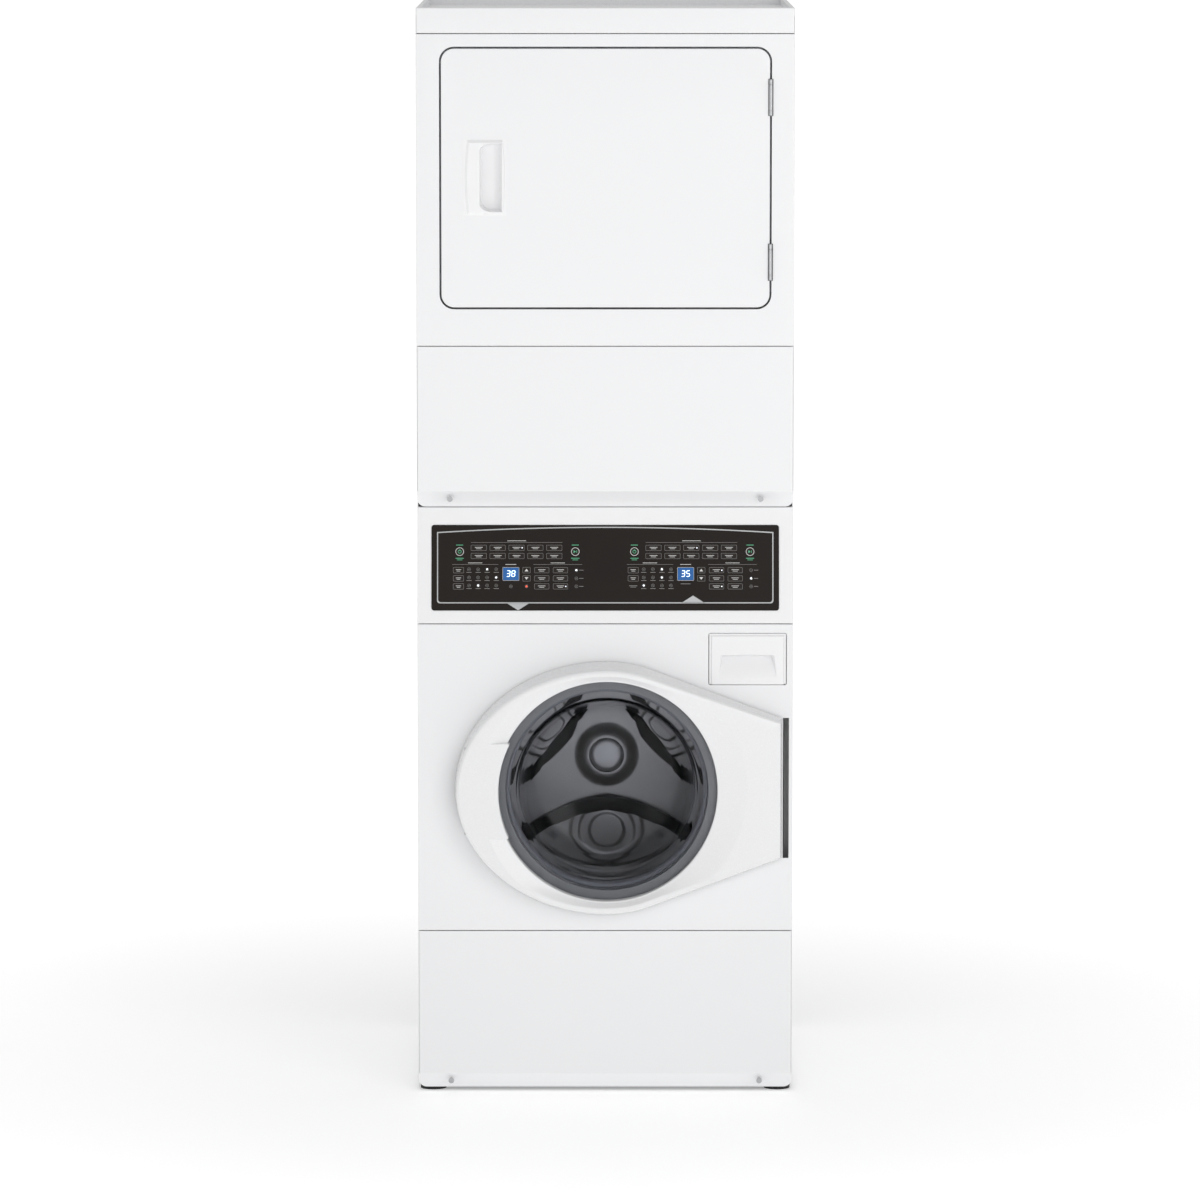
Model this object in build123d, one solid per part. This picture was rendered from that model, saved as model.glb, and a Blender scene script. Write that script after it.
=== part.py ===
from build123d import *

import math
import os

# Stacked laundry centre: front-load washer below, tumble dryer above, one control console between.
# Millimetres, +Z up, the front faces -Y, and the origin is on the floor at the centre of the box.

# ---- overall sizes ----
WIDTH = 683.0
DEPTH = 768.0
HEIGHT = 1984.0
DOOR_BULGE = 60.0  # how far the washer door stands in front of the cabinet
REAR_STUB = 38.0  # how far the exhaust collar stands behind the cabinet

# ---- heights of the panel seams ----
PANEL_BOTTOM = 8.0
WASHER_SEAM = 303.7
CONSOLE_BOTTOM = 868.4
CONSOLE_TOP = 1079.2
DRYER_SEAM = 1374.2
TOP_SEAM = 1938.5

# ---- sheet metal ----
SHEET = 1.0
SEAM_GAP = 1.2  # gap between two panels at a seam
PAN_DEPTH = 42.0  # depth of the front panels' folded edges
FLANGE = 14.0
EDGE_ROUND = 4.0
KICK = 30.6  # chamfer along the foot of both access panels
KICK_CORNER = 15.0
CONSOLE_DEPTH = 62.0
CONSOLE_LEAN = 30.0  # how far the console's top edge leans back
TOP_RIM = 9.0
TOP_RECESS = 13.0

# ---- running and assembly clearances ----
FIT = 0.3  # between fixed pieces that nest
SHAFT_FIT = 0.05  # radial clearance of a shaft in its bore
RUN_GAP = 3.0  # between pieces that move past each other

# ---- base ----
FRAME_BOTTOM = 16.0
FRAME_HEIGHT = 34.0
RAIL = 42.0
RAIL_SHEET = 3.0
LEG_RADIUS = 6.0
PAD_RADIUS = 24.0
PAD_HEIGHT = 9.0

# ---- washer ----
DRUM_X = 3.0  # both the drum and the round window are a little right of the cabinet's centre
DRUM_Z = 566.5
DRUM_RADIUS = 250.0
DRUM_FRONT = 112.0  # all depths below are behind the cabinet's front face
DRUM_BACK = 444.0
DRUM_MOUTH = 190.0
DRUM_SHEET = 1.6
TUB_GAP = 12.0
TUB_WALL = 5.0
TUB_FRONT = 96.0
TUB_BACK = 462.0
SHAFT_RADIUS = 17.0
PULLEY_RADIUS = 150.0
PULLEY_FRONT = 500.0
PULLEY_WIDTH = 18.0
PULLEY_SHEET = 4.0
MOTOR_X = 45.0
MOTOR_Z = 190.0
MOTOR_PULLEY_RADIUS = 11.0
MOTOR_RADIUS = 62.0
MOTOR_WALL = 5.0
BELT = 4.0
LIFTERS = 3
LIFTER_CREST = 200.0
BACK_BOLTS = 6
BACK_BOLT_CIRCLE = 206.0
SPRING_X = 190.0
SPRING_TOP = 838.0
DAMPER_X = 205.0
TUB_TRAVEL = 10.0

# ---- washer door ----
DOOR_GAP = 3.0  # between the closed door and the front panel
RING_LEFT = 276.0  # half width of the ring on the hinge side
RING_RADIUS = 233.0
RING_DRAFT = 9.0
HANDLE_X = 322.0
HANDLE_HALF = 129.0
HANDLE_DROP = 27.0  # how much lower the door's face is at its handle end
RING_WALL = 3.0
WINDOW_RADIUS = 201.0
WINDOW_SINK = 30.0  # the window's rim lies this far behind the ring's face
BOWL_WALL = 5.0
BOWL_THROAT = 167.0
BOWL_END = 128.0
BOWL_REACH = 100.0
PORT_RADIUS = 186.0
GASKET_INNER = 176.0
HINGE_X = -248.0
HINGE_OUT = 38.0
HINGE_SWEEP = 36.0  # the ring keeps inside this radius on the panel side of its hinge
HINGE_PIN = 5.0
HINGE_REACH = 40.0
HINGE_ROWS = (-58.0, 58.0)
KNUCKLE = 9.0
HINGE_SLOT = 66.0

GRIP_LEFT = 324.0  # finger slot beside the door's handle end
GRIP_WIDTH = 10.5

# ---- detergent drawer ----
DRAWER_LEFT = 188.0
DRAWER_RIGHT = 330.0
DRAWER_BOTTOM = 756.0
DRAWER_TOP = 851.0
DRAWER_LENGTH = 250.0
DRAWER_WALL = 2.5
DRAWER_FRONT = 14.0

# ---- dryer ----
DRYER_Z = 1626.0
DRYER_RADIUS = 303.0
DRYER_FRONT = 62.0
DRYER_BACK = 590.0
DRYER_MOUTH_W = 430.0
DRYER_MOUTH_H = 330.0
DRYER_MOUTH_R = 90.0
DRYER_AXLE = 10.0
BULKHEAD_FRONT = 44.0
BAFFLES = 3
BAFFLE_HEIGHT = 70.0
ROLLER_RADIUS = 26.0
ROLLER_X = 150.0
ROLLER_AXLE = 6.0
ROLLER_WIDTH = 24.0
ROLLER_FRONT = 96.0
DRIVE_X = 60.0
DRIVE_Z = 1190.0
DRIVE_RADIUS = 66.0
DRIVE_PULLEY = 10.0
DRIVE_BELT_AT = 392.0
DRIVE_BELT_WIDTH = 9.0
FAN_RADIUS = 72.0
FAN_FRONT = 84.0
FAN_WIDTH = 52.0
DUCT_RADIUS = 50.8
DUCT_X = -110.0
DUCT_Z = 1165.0
FILTER_WIDTH = 210.0
FILTER_TOP = 1488.0
FILTER_HEIGHT = 106.0

# ---- dryer door ----
LOAD_DOOR_LEFT = -299.6
LOAD_DOOR_RIGHT = 300.4
LOAD_DOOR_BOTTOM = 1440.6
LOAD_DOOR_TOP = 1914.2
LOAD_DOOR_CORNER = 27.0
LOAD_DOOR_GAP = 3.6
JAMB_DEPTH = 37.0
LOAD_DOOR_THICK = 24.0
LOAD_LINER_THICK = 12.0
LOAD_HINGE_X = 298.2
LOAD_HINGE_OUT = 2.0
LOAD_PIN = 1.6
LOAD_BARREL = 3.25
LOAD_BARREL_LENGTH = 65.0
LOAD_HINGES = (1526.0, 1823.0)
LEAF_DEPTH = 16.0
PULL_X = -217.0
PULL_Z = 1679.0
PULL_WIDTH = 75.0
PULL_HEIGHT = 135.0
PULL_POCKET = (-226.0, -186.0)
PULL_POCKET_HEIGHT = 124.0
PULL_DEPTH = 20.0

# ---- places worked out from the sizes above ----
HALF = WIDTH / 2
FRONT = -DEPTH / 2 + DOOR_BULGE  # the cabinet's front face
REAR = DEPTH / 2 - REAR_STUB  # the cabinet's rear face
TUB_RADIUS = DRUM_RADIUS + DRUM_SHEET + TUB_GAP
DOOR_FACE = FRONT - DOOR_BULGE

# ---- tub, counterweights and washer motor ----
TUB_SPLIT = 120.0  # depth of the tub's front ring
BEARING_LENGTH = 34.0
BEARING_BOSS = 60.0
WEIGHT_THICK = 38.0
WEIGHT_INSET = 20.0
WEIGHT_HALF = 120.0
WEIGHT_FROM = 150.0  # the top weight begins this far behind the tub's front
WEIGHT_TO = 40.0  # and ends this far before its back
MOTOR_FROM = 210.0
MOTOR_TO = 455.0
SADDLE_HALF = 60.0
SADDLE_FROM = 240.0
SADDLE_TO = 430.0
SPRING_RADIUS = 14.0
SPRING_DEPTHS = (300.0, 400.0)
DAMPER_RADIUS = 15.0
DAMPER_DEPTHS = (200.0, 380.0)

# ---- drum fittings ----
SPIDER_BOSS = 50.0
ARM_HALF = 16.0
ARM_FROM = 30.0
LIFTER_START = 30.0  # the lifters begin this far behind the drum's front
RIM_DEPTH = 12.0  # radial depth of the pulley's rim
WEB_HOLES = 6
WEB_HOLE_RADIUS = 30.0
WEB_HOLE_CIRCLE = 86.0

# ---- dryer drum, baffles, motor and heater ----
DRYER_SHEET = 1.5
VENT_RADIUS = 7.0
VENT_ROWS = ((100, 16), (135, 22), (170, 28), (205, 34))  # circle radius and number of holes
AXLE_BOSS = 36.0
BAFFLE_FOOT = 36.0
BAFFLE_CREST = 10.0
DRIVE_FROM = 190.0
DRIVE_TO = 370.0
DRIVE_SHAFT = 6.0
FAN_HUB = 18.0
HEATER_HALF = 150.0
HEATER_LOW = 240.0  # below the drum's axis
HEATER_HIGH = 60.0

# ---- access panel screws and bosses ----
SCREW_X = (-282.0, 282.0)
SCREW_DROP = 14.0
SCREW_SHANK = 2.4
SCREW_HEAD = 5.2
BOSS_WIDTH = 40.0
BOSS_RISE = 10.0
BOSS_SINK = 3.0
BOSS_ROUND = 12.0

# ---- control overlay and board ----
OVERLAY_WIDTH = 631.6
OVERLAY_HEIGHT = 155.6
OVERLAY_CORNER = 5.0
OVERLAY_THICK = 1.6
OVERLAY_CENTRE = 101.6  # height of the overlay's centre above the console's foot, along the lean
OVERLAY_SEAT = 0.6
BOARD_MARGIN = 30.0
BOARD_SINK = 12.0
BOARD_THICK = 2.0

# ---- fittings through the rear panel ----
VALVE_X = (-60.0, 10.0)
VALVE_Z = 965.0
VALVE_RADIUS = 13.2
VALVE_STUB = 26.0
NECK = 1.0  # a fitting narrows where it passes through the rear panel
DRAIN_X = 235.0
DRAIN_Z = 915.0
DRAIN_RADIUS = 14.0
DRAIN_STUB = 30.0
GLAND_X = 240.0
GLAND_Z = 1240.0
GLAND_RADIUS = 17.0
GLAND_BORE = 8.5

# ---- pressed back of the wash drum ----
PAD_STEP = 23.0
PAD_FOOT = 0.6
PAD_INNER = 78.0
PAD_OUTER = 186.0
PAD_HALF_ANGLE = 42.0
HUB_RADIUS = 31.0
BACK_SHEET = 5.0
BOLT_RADIUS = 7.0

# ---- drain pump ----
PUMP_X = -120.0
PUMP_Z = 110.0
PUMP_RADIUS = 38.0

# ---- blower ----
FAN_BLADES = 16
WALL = 2.5


def at_depth(depth):
    """Return the Y place that lies a depth behind the cabinet's front face."""
    return FRONT + depth


def block(x0, x1, y0, y1, z0, z1):
    """Return a box between two corners."""
    centre = ((x0 + x1) / 2, (y0 + y1) / 2, (z0 + z1) / 2)
    return Pos(*centre) * Box(x1 - x0, y1 - y0, z1 - z0)


def front_plane(y):
    """Return the upright plane at y whose sketches use X and Z, facing the front."""
    return Plane(origin=(0, y, 0), x_dir=(1, 0, 0), z_dir=(0, -1, 0))


def slab(sketch, y0, y1, taper=0.0):
    """Return a front-view sketch extruded from the rear place y1 to the front place y0."""
    return extrude(front_plane(y1) * sketch, y1 - y0, taper=taper)


def side_prism(points, x0, x1):
    """Return a prism along X whose outline is a list of (y, z) points."""
    outline = make_face(Polyline(*points, close=True))
    return extrude(Plane.YZ.offset(x0) * outline, x1 - x0)


def rod_y(radius, x, z, y0, y1):
    """Return a cylinder along Y."""
    return slab(Pos(x, z) * Circle(radius), y0, y1)


def tube_y(outer, inner, x, z, y0, y1):
    """Return a tube along Y."""
    return slab(Pos(x, z) * (Circle(outer) - Circle(inner)), y0, y1)


def rod_z(radius, x, y, z0, z1):
    """Return a cylinder along Z."""
    return Pos(x, y, (z0 + z1) / 2) * Cylinder(radius, z1 - z0)


def rounded(x0, x1, z0, z1, radius):
    """Return a front-view rounded rectangle."""
    return Pos((x0 + x1) / 2, (z0 + z1) / 2) * RectangleRounded(x1 - x0, z1 - z0, radius)


def turned(profile, x, z):
    """Return a solid turned about the Y line through x, z from (radius, y) points."""
    outline = make_face(Polyline(*profile, close=True))
    return Pos(x, 0, z) * revolve(outline, Axis.Y)


def around(solid, angle, x, z):
    """Return a solid turned about the Y line through x, z by an angle in degrees."""
    return Pos(x, 0, z) * Rot(0, angle, 0) * Pos(-x, 0, -z) * solid


def belt_outline(x0, z0, r0, x1, z1, r1):
    """Return the filled outline of a belt that runs round two pulleys."""
    reach = math.hypot(x1 - x0, z1 - z0)
    heading = math.atan2(z1 - z0, x1 - x0)
    swing = math.acos((r0 - r1) / reach)
    corners = []
    for x, z, r, side in ((x0, z0, r0, 1), (x1, z1, r1, 1), (x1, z1, r1, -1), (x0, z0, r0, -1)):
        angle = heading + side * swing
        corners.append((x + r * math.cos(angle), z + r * math.sin(angle)))
    runs = make_face(Polyline(*corners, close=True))
    return runs + Pos(x0, z0) * Circle(r0) + Pos(x1, z1) * Circle(r1)


def save(name, shape):
    """Write one node's solids to its own file."""
    solids = shape.solids()
    whole = solids[0] if len(solids) == 1 else Compound(children=list(solids))
    export_step(whole, os.path.join("parts", name + ".step"))


os.makedirs("parts", exist_ok=True)


# ================= cabinet =================


def access_panel(bottom, top):
    """Return a folded panel whose foot is chamfered back, with bosses for its two screws."""
    outer = side_prism(
        [(FRONT, top), (FRONT, bottom + KICK), (FRONT + KICK, bottom),
         (FRONT + PAN_DEPTH, bottom), (FRONT + PAN_DEPTH, top)], -HALF, HALF)
    edges = outer.edges().filter_by(Axis.Z).group_by(Axis.Y)[0]
    outer = fillet(edges, EDGE_ROUND)
    corners = rounded(-HALF, HALF, bottom, top + 2 * KICK_CORNER, KICK_CORNER)
    outer = outer & slab(corners, FRONT, FRONT + PAN_DEPTH)
    slope = SHEET * (math.sqrt(2) - 1)
    inner = side_prism(
        [(FRONT + SHEET, top - SHEET), (FRONT + SHEET, bottom + KICK + slope),
         (FRONT + KICK + slope, bottom + SHEET), (FRONT + PAN_DEPTH + 1, bottom + SHEET),
         (FRONT + PAN_DEPTH + 1, top - SHEET)], -HALF + SHEET, HALF - SHEET)
    inner = inner & slab(
        rounded(-HALF + SHEET, HALF - SHEET, bottom + SHEET, top + 2 * KICK_CORNER,
                KICK_CORNER - SHEET), FRONT, FRONT + PAN_DEPTH + 1)
    panel = outer - inner
    screw_z = bottom + KICK - SCREW_DROP
    for x in SCREW_X:
        crown = rounded(x - BOSS_WIDTH / 2, x + BOSS_WIDTH / 2, bottom + BOSS_RISE,
                        bottom + KICK + BOSS_RISE, BOSS_ROUND)
        boss = slab(crown, FRONT + BOSS_SINK, FRONT + PAN_DEPTH / 2) & side_prism(
            [(FRONT, bottom + KICK), (FRONT + KICK, bottom), (FRONT + KICK, bottom + KICK)],
            -HALF, HALF)
        panel = panel + boss
        panel = panel - rod_y(SCREW_SHANK + FIT, x, screw_z, FRONT, FRONT + PAN_DEPTH)
    return panel


def front_pan(bottom, top):
    """Return a flat front panel with folded edges, open at its back."""
    outer = block(-HALF, HALF, FRONT, FRONT + PAN_DEPTH, bottom, top)
    outer = fillet(outer.faces().sort_by(Axis.Y)[0].edges(), EDGE_ROUND / 2)
    return outer - block(-HALF + SHEET, HALF - SHEET, FRONT + SHEET, FRONT + PAN_DEPTH + 1,
                         bottom + SHEET, top - SHEET)


def side_panel(side, outline):
    """Return a side sheet with a folded flange at its front and rear."""
    x0, x1 = sorted((side * HALF, side * (HALF - SHEET)))
    sheet = side_prism(outline, x0, x1)
    bottom = min(z for y, z in outline)
    top = max(z for y, z in outline)
    inner = sorted((side * (HALF - SHEET), side * (HALF - FLANGE)))
    front_y = max(y for y, z in outline if y < 0)
    foot = max(bottom, FRAME_BOTTOM + FRAME_HEIGHT)
    flange = block(*inner, front_y, front_y + SHEET, foot + FLANGE / 2, top - FLANGE)
    return sheet + flange


SIDE_REAR = REAR - SHEET  # the side sheets stop at the rear panels
washer_side = [(FRONT + PAN_DEPTH, PANEL_BOTTOM), (SIDE_REAR, PANEL_BOTTOM),
               (SIDE_REAR, CONSOLE_TOP - SEAM_GAP), (FRONT + CONSOLE_DEPTH, CONSOLE_TOP - SEAM_GAP),
               (FRONT + CONSOLE_DEPTH, CONSOLE_BOTTOM), (FRONT + PAN_DEPTH, CONSOLE_BOTTOM)]
dryer_side = [(FRONT + PAN_DEPTH, CONSOLE_TOP), (SIDE_REAR, CONSOLE_TOP),
              (SIDE_REAR, TOP_SEAM - SEAM_GAP), (FRONT + PAN_DEPTH, TOP_SEAM - SEAM_GAP)]
for name, side in (("left", -1), ("right", 1)):
    save("washer_side_" + name, side_panel(side, washer_side))
    save("dryer_side_" + name, side_panel(side, dryer_side))

# Base frame: four rails with a leg through each corner.
frame_x = HALF - SHEET - FIT
frame_y0 = FRONT + PAN_DEPTH + SHEET + FIT
frame_y1 = SIDE_REAR - FIT
frame_top = FRAME_BOTTOM + FRAME_HEIGHT
base = block(-frame_x, frame_x, frame_y0, frame_y1, FRAME_BOTTOM, frame_top)
base -= block(-frame_x + RAIL, frame_x - RAIL, frame_y0 + RAIL, frame_y1 - RAIL,
              FRAME_BOTTOM - 1, frame_top + 1)
leg_places = [(sx * (frame_x - PAD_RADIUS - FIT), y) for sx in (-1, 1)
              for y in (frame_y0 + PAD_RADIUS + FIT, frame_y1 - PAD_RADIUS - FIT)]
channel = block(-frame_x + RAIL_SHEET, frame_x - RAIL_SHEET, frame_y0 + RAIL_SHEET,
                frame_y1 - RAIL_SHEET, FRAME_BOTTOM - 1, frame_top - RAIL_SHEET)
channel -= block(-frame_x + RAIL - RAIL_SHEET, frame_x - RAIL + RAIL_SHEET,
                 frame_y0 + RAIL - RAIL_SHEET, frame_y1 - RAIL + RAIL_SHEET,
                 FRAME_BOTTOM - 2, frame_top)
base -= channel
legs = Part()
pads = Part()
for x, y in leg_places:
    base -= rod_z(LEG_RADIUS + FIT, x, y, FRAME_BOTTOM - 1, frame_top + 1)
    legs += rod_z(LEG_RADIUS, x, y, PAD_HEIGHT, frame_top + FLANGE / 2)
    legs += rod_z(PAD_RADIUS / 2, x, y, PAD_HEIGHT, FRAME_BOTTOM)
    legs += rod_z(PAD_RADIUS / 2, x, y, frame_top - RAIL_SHEET - 8, frame_top - RAIL_SHEET)
    pads += rod_z(PAD_RADIUS, x, y, 0, PAD_HEIGHT)
save("base_frame", base)
save("leveling_legs", legs)
save("foot_pads", pads)

# Front panels.
save("washer_access_panel", access_panel(PANEL_BOTTOM, WASHER_SEAM - SEAM_GAP))
save("dryer_access_panel", access_panel(CONSOLE_TOP, DRYER_SEAM - SEAM_GAP))

screws = Part()
for bottom in (PANEL_BOTTOM, CONSOLE_TOP):
    for x in SCREW_X:
        z = bottom + KICK - SCREW_DROP
        seat = FRONT + BOSS_SINK
        screws += rod_y(SCREW_HEAD, x, z, seat - 2.0, seat)
        screws += rod_y(SCREW_SHANK, x, z, seat, FRONT + PAN_DEPTH)
save("access_panel_screws", screws)

washer_front = front_pan(WASHER_SEAM, CONSOLE_BOTTOM - SEAM_GAP)
washer_front -= rod_y(PORT_RADIUS, DRUM_X, DRUM_Z, FRONT - 1, FRONT + SHEET + 1)
washer_front += tube_y(PORT_RADIUS + SHEET, PORT_RADIUS, DRUM_X, DRUM_Z, FRONT + SHEET,
                       FRONT + PAN_DEPTH / 2)
washer_front -= slab(rounded(DRAWER_LEFT - FIT, DRAWER_RIGHT + FIT, DRAWER_BOTTOM - FIT,
                             DRAWER_TOP + FIT, EDGE_ROUND), FRONT - 1, FRONT + SHEET + 1)
washer_front -= block(GRIP_LEFT, GRIP_LEFT + GRIP_WIDTH, FRONT - 1, FRONT + SHEET + 1,
                      DRUM_Z - HANDLE_HALF, DRUM_Z + HANDLE_HALF)
save("washer_front_panel", washer_front)

# Console: its face leans back from the washer's front to the dryer's foot.
console_top = CONSOLE_TOP - SEAM_GAP
lean_rise = console_top - CONSOLE_BOTTOM
console_profile = [(FRONT, CONSOLE_BOTTOM), (FRONT + CONSOLE_DEPTH, CONSOLE_BOTTOM),
                   (FRONT + CONSOLE_DEPTH, console_top), (FRONT + CONSOLE_LEAN, console_top)]
console = side_prism(console_profile, -HALF, HALF)
console = fillet(console.faces().sort_by(Axis.Y)[0].edges(), EDGE_ROUND / 2)
hollow = [(FRONT + 2 * SHEET, CONSOLE_BOTTOM + SHEET),
          (FRONT + CONSOLE_DEPTH + 1, CONSOLE_BOTTOM + SHEET),
          (FRONT + CONSOLE_DEPTH + 1, console_top - SHEET),
          (FRONT + CONSOLE_LEAN + 2 * SHEET, console_top - SHEET)]
console -= side_prism(hollow, -HALF + SHEET, HALF - SHEET)

lean = math.degrees(math.atan2(CONSOLE_LEAN, lean_rise))
lean_plane = Plane(origin=(0, FRONT, CONSOLE_BOTTOM), x_dir=(1, 0, 0),
                   z_dir=(0, -math.cos(math.radians(lean)), math.sin(math.radians(lean))))
overlay_shape = Pos(0, OVERLAY_CENTRE) * RectangleRounded(OVERLAY_WIDTH, OVERLAY_HEIGHT,
                                                          OVERLAY_CORNER)
pocket_shape = Pos(0, OVERLAY_CENTRE) * RectangleRounded(
    OVERLAY_WIDTH + 2 * FIT, OVERLAY_HEIGHT + 2 * FIT, OVERLAY_CORNER + FIT)
console -= extrude(lean_plane.offset(-OVERLAY_SEAT) * pocket_shape, 2 * OVERLAY_SEAT)
save("control_housing", console)
save("control_overlay", extrude(lean_plane.offset(-OVERLAY_SEAT) * overlay_shape, OVERLAY_THICK))
board_shape = Pos(0, OVERLAY_CENTRE) * RectangleRounded(
    OVERLAY_WIDTH - 2 * BOARD_MARGIN, OVERLAY_HEIGHT - BOARD_MARGIN, OVERLAY_CORNER)
save("control_board", extrude(lean_plane.offset(-BOARD_SINK) * board_shape, BOARD_THICK))

# Top: a shallow tray whose rim stands proud all round.
top = block(-HALF, HALF, FRONT, REAR, TOP_SEAM, HEIGHT)
top = fillet(top.edges().filter_by(Axis.Z).group_by(Axis.Y)[0], EDGE_ROUND)
top = fillet(top.faces().sort_by(Axis.Z)[-1].edges(), EDGE_ROUND / 2)
top -= block(-HALF + TOP_RIM, HALF - TOP_RIM, FRONT + TOP_RIM, REAR - TOP_RIM,
             HEIGHT - TOP_RECESS, HEIGHT + 1)
top -= block(-HALF + SHEET, HALF - SHEET, FRONT + SHEET, REAR - SHEET,
             TOP_SEAM - 1, HEIGHT - TOP_RECESS - SHEET)
save("dryer_top", top)

# Rear panel, with holes for the water valves, the drain, the mains gland and the exhaust.
SHEET_IN = HALF - SHEET - FIT
rear = block(-HALF, HALF, SIDE_REAR, REAR, PANEL_BOTTOM, TOP_SEAM - SEAM_GAP)
for x in VALVE_X:
    rear -= rod_y(VALVE_RADIUS + FIT, x, VALVE_Z, REAR - FLANGE, REAR + 1)
rear -= rod_y(DRAIN_RADIUS + FIT, DRAIN_X, DRAIN_Z, REAR - FLANGE, REAR + 1)
rear -= rod_y(DUCT_RADIUS + FIT, DUCT_X, DUCT_Z, REAR - FLANGE, REAR + 1)
rear -= rod_y(GLAND_RADIUS - 3, GLAND_X, GLAND_Z, REAR - FLANGE, REAR + 1)
save("rear_panel", rear)

valves = Part()
for x in VALVE_X:
    valves += rod_y(VALVE_RADIUS - NECK, x, VALVE_Z, REAR - FLANGE, REAR)
    valves += rod_y(VALVE_RADIUS, x, VALVE_Z, REAR, REAR + VALVE_STUB)
    valves -= rod_y(VALVE_RADIUS - 4, x, VALVE_Z, REAR - FLANGE - 1, REAR + VALVE_STUB + 1)
valve_left, valve_right = VALVE_X
valves += block(valve_left - 2 * VALVE_RADIUS, valve_right + 2 * VALVE_RADIUS,
                REAR - 70, REAR - FLANGE, VALVE_Z - 28, VALVE_Z + 28)
save("inlet_valves", valves)
drain = tube_y(DRAIN_RADIUS - NECK, DRAIN_RADIUS - 3, DRAIN_X, DRAIN_Z, REAR - 40, REAR)
drain += tube_y(DRAIN_RADIUS, DRAIN_RADIUS - 3, DRAIN_X, DRAIN_Z, REAR, REAR + DRAIN_STUB)
gland = rod_y(GLAND_RADIUS, GLAND_X, GLAND_Z, REAR, REAR + 14)
gland += rod_y(GLAND_RADIUS - 3 - FIT, GLAND_X, GLAND_Z, REAR - 12, REAR)
gland -= rod_y(GLAND_BORE, GLAND_X, GLAND_Z, REAR - FLANGE, REAR + 15)
save("power_gland", gland)

# Deck between the two machines.
deck_y0 = FRONT + CONSOLE_DEPTH + FIT
deck = block(-SHEET_IN, SHEET_IN, deck_y0, SIDE_REAR - FIT, CONSOLE_TOP - SEAM_GAP - SHEET,
             CONSOLE_TOP - SEAM_GAP)
for side in (-1, 1):
    x0, x1 = sorted((side * SHEET_IN, side * (SHEET_IN - SHEET)))
    deck += block(x0, x1, deck_y0, SIDE_REAR - FIT, CONSOLE_TOP - SEAM_GAP - FLANGE,
                  CONSOLE_TOP - SEAM_GAP)
save("stack_deck", deck)


# ================= washer =================

# Tub: a rear shell with the bearing, and a front ring.
bearing_back = TUB_BACK + TUB_WALL + BEARING_LENGTH
tub_rear = turned([(TUB_RADIUS, at_depth(TUB_FRONT + TUB_SPLIT)),
                   (TUB_RADIUS + TUB_WALL, at_depth(TUB_FRONT + TUB_SPLIT)),
                   (TUB_RADIUS + TUB_WALL, at_depth(TUB_BACK + TUB_WALL)),
                   (BEARING_BOSS, at_depth(TUB_BACK + TUB_WALL)),
                   (BEARING_BOSS, at_depth(bearing_back)),
                   (SHAFT_RADIUS + SHAFT_FIT, at_depth(bearing_back)),
                   (SHAFT_RADIUS + SHAFT_FIT, at_depth(TUB_BACK)),
                   (TUB_RADIUS, at_depth(TUB_BACK))], DRUM_X, DRUM_Z)
tub_front = turned([(TUB_RADIUS, at_depth(TUB_FRONT + TUB_SPLIT)),
                    (TUB_RADIUS, at_depth(TUB_FRONT + TUB_WALL)),
                    (DRUM_MOUTH, at_depth(TUB_FRONT + TUB_WALL)),
                    (DRUM_MOUTH, at_depth(TUB_FRONT)),
                    (TUB_RADIUS + TUB_WALL, at_depth(TUB_FRONT)),
                    (TUB_RADIUS + TUB_WALL, at_depth(TUB_FRONT + TUB_SPLIT))], DRUM_X, DRUM_Z)
save("tub_rear", tub_rear)
save("tub_front", tub_front)

# Counterweights: a ring sector in front of the tub and a block on top of it.
weight_front = turned([(DRUM_MOUTH + WEIGHT_INSET, at_depth(TUB_FRONT)),
                       (DRUM_MOUTH + WEIGHT_INSET, at_depth(TUB_FRONT - WEIGHT_THICK)),
                       (TUB_RADIUS - 6, at_depth(TUB_FRONT - WEIGHT_THICK)),
                       (TUB_RADIUS - 6, at_depth(TUB_FRONT))], DRUM_X, DRUM_Z)
weight_front -= block(-HALF, HALF, FRONT, at_depth(TUB_BACK), DRUM_Z, DRUM_Z + HALF)
hanger_z = DRUM_Z + TUB_RADIUS
weight_top = block(DRUM_X - WEIGHT_HALF, DRUM_X + WEIGHT_HALF,
                   at_depth(TUB_FRONT + WEIGHT_FROM), at_depth(TUB_BACK - WEIGHT_TO),
                   hanger_z - 30, hanger_z + 22)
weight_top -= rod_y(TUB_RADIUS + TUB_WALL, DRUM_X, DRUM_Z, FRONT, REAR)
save("counterweights", weight_front + weight_top)

# Motor, hung under the tub on a saddle.
motor_y0, motor_y1 = at_depth(MOTOR_FROM), at_depth(MOTOR_TO)
motor = rod_y(MOTOR_RADIUS, MOTOR_X, MOTOR_Z, motor_y0, motor_y1)
tub_floor = DRUM_Z - TUB_RADIUS
saddle = block(MOTOR_X - SADDLE_HALF, MOTOR_X + SADDLE_HALF, at_depth(SADDLE_FROM),
               at_depth(SADDLE_TO),
               MOTOR_Z + MOTOR_RADIUS / 2, tub_floor + 10)
saddle -= rod_y(TUB_RADIUS + TUB_WALL, DRUM_X, DRUM_Z, FRONT, REAR)
motor -= rod_y(MOTOR_RADIUS - MOTOR_WALL, MOTOR_X, MOTOR_Z, motor_y0 + MOTOR_WALL,
               motor_y1 - 4 * MOTOR_WALL)
motor += saddle
motor -= rod_y(MOTOR_RADIUS - MOTOR_WALL, MOTOR_X, MOTOR_Z, motor_y0 + MOTOR_WALL,
               motor_y1 - 4 * MOTOR_WALL)
motor_shaft = SHAFT_RADIUS / 3
motor -= rod_y(motor_shaft + SHAFT_FIT, MOTOR_X, MOTOR_Z, at_depth(400), motor_y1 + 1)
save("washer_motor", motor)

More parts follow.
